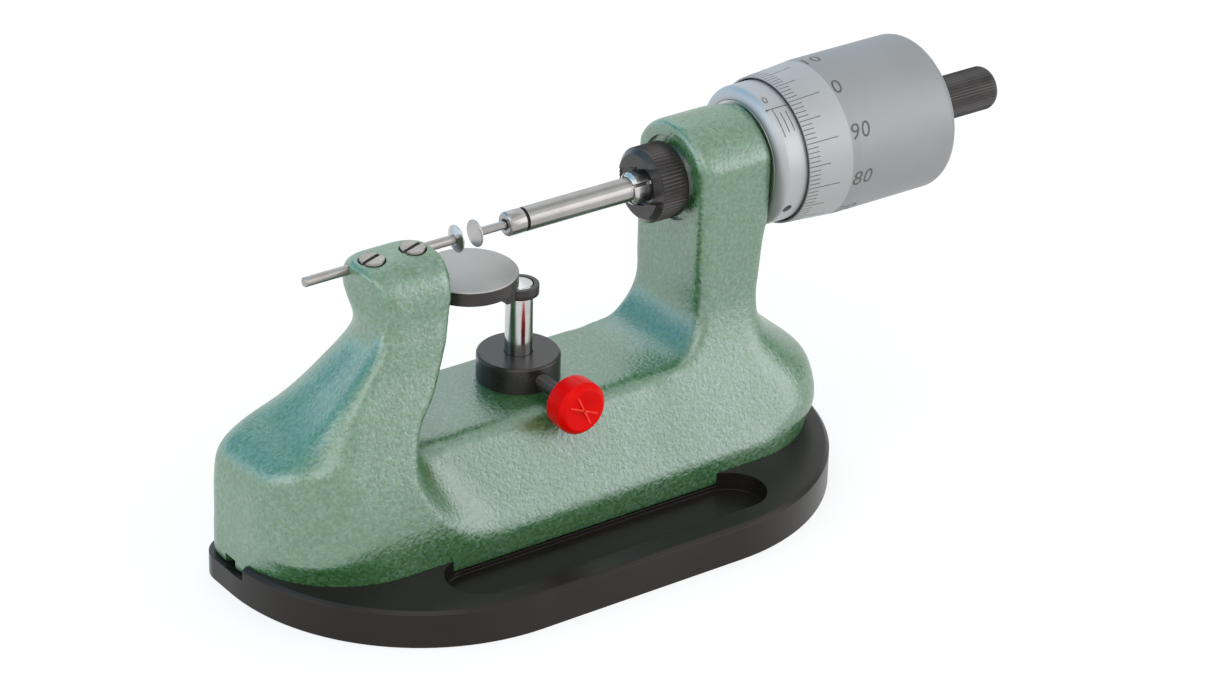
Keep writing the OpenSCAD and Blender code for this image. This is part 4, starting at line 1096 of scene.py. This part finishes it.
floor.location.z = -0.05 * mm
bpy.context.scene.collection.objects.link(floor)

horizon, zenith = (0.72, 0.74, 0.74, 1), (0.86, 0.9, 0.92, 1)
dusk_low, dusk_high, gloom_tone = (0.95, 1.2, 1.5, 1), (0.22, 0.5, 0.74, 1), (0.22, 0.3, 0.27, 1)
world = bpy.data.worlds.new("studio")
bpy.context.scene.world = world
world.use_nodes = True
tree = world.node_tree
direction = add_node(tree, "ShaderNodeTexCoord").outputs["Generated"]
height = add_node(tree, "ShaderNodeSeparateXYZ", {0: direction}).outputs["Z"]
sky = add_node(tree, "ShaderNodeValToRGB", {0: height})
lowest, highest = sky.color_ramp.elements
lowest.position, lowest.color = 0.36, horizon
highest.position, highest.color = 1.0, zenith
for position, tone in ((0.6, 0.8), (0.72, 0.95), (0.81, 0.95), (0.84, 0.3), (0.875, 0.3), (0.9, 0.9)):
    sky.color_ramp.elements.new(position).color = (tone * 0.96, tone, tone * 1.02, 1)


def towards(aim, start, end):
    """Share of a round patch of sky, from its rim to its middle."""
    nearness = add_node(tree, "ShaderNodeVectorMath", {0: direction, 1: aim}, operation="DOT_PRODUCT")
    return spread(tree, nearness.outputs["Value"], 0, 1, start, end)


dusk_tone = blended(tree, spread(tree, height, 0, 1, 0.1, 0.28), dusk_low, dusk_high)
shaded = blended(tree, towards((-0.5, 0.74, 0.45), 0.45, 0.97), sky.outputs["Color"], dusk_tone)
shaded = blended(tree, towards((0.97, -0.2, 0.15), 0.9, 0.985), shaded, gloom_tone)
background = tree.nodes["Background"]
tree.links.new(shaded, background.inputs["Color"])
background.inputs["Strength"].default_value = 1.35


def soft_box(name, place, power, size, tint=(1, 1, 1), aim=Vector((0.015, 0, 0.025))):
    """Square soft light aimed at the middle of the instrument."""
    lamp = bpy.data.lights.new(name, "AREA")
    lamp.energy, lamp.size, lamp.color = power, size, tint
    box = bpy.data.objects.new(name, lamp)
    box.location = place
    box.rotation_euler = (aim - box.location).to_track_quat("-Z", "Y").to_euler()
    bpy.context.scene.collection.objects.link(box)


soft_box("key_light", (-0.35, -0.55, 0.8), power=1.3, size=0.6)
soft_box("left_light", (-0.85, 0.1, 0.42), power=1.5, size=0.6)
soft_box("right_light", (0.76, -0.65, 0.31), power=2.6, size=0.7, tint=(0.96, 0.93, 1))
soft_box("back_light", (0.25, 0.72, 0.65), power=0.5, size=0.5)

azimuth, elevation, roll = (math.radians(a) for a in (-35.803, 27.969, 1.513))
sight, sight_distance = Vector((0.01528, 0, 0.02323)), 0.6516
level = Vector((math.cos(azimuth), math.sin(azimuth), 0))
back = Vector((
    math.sin(azimuth) * math.cos(elevation), -math.cos(azimuth) * math.cos(elevation), math.sin(elevation)))
rise = back.cross(level)
right = math.cos(roll) * level + math.sin(roll) * rise
up = math.cos(roll) * rise - math.sin(roll) * level
eye = bpy.data.cameras.new("photo_camera")
eye.sensor_fit, eye.sensor_width, eye.lens = "HORIZONTAL", 36.0, 127.52
eye.clip_start, eye.clip_end = 0.02, 20
camera = bpy.data.objects.new("photo_camera", eye)
turn = Matrix((right, up, back)).transposed().to_4x4()
camera.matrix_world = Matrix.Translation(sight + back * sight_distance) @ turn
bpy.context.scene.collection.objects.link(camera)
bpy.context.scene.camera = camera
bpy.context.scene.view_settings.view_transform = "Standard"
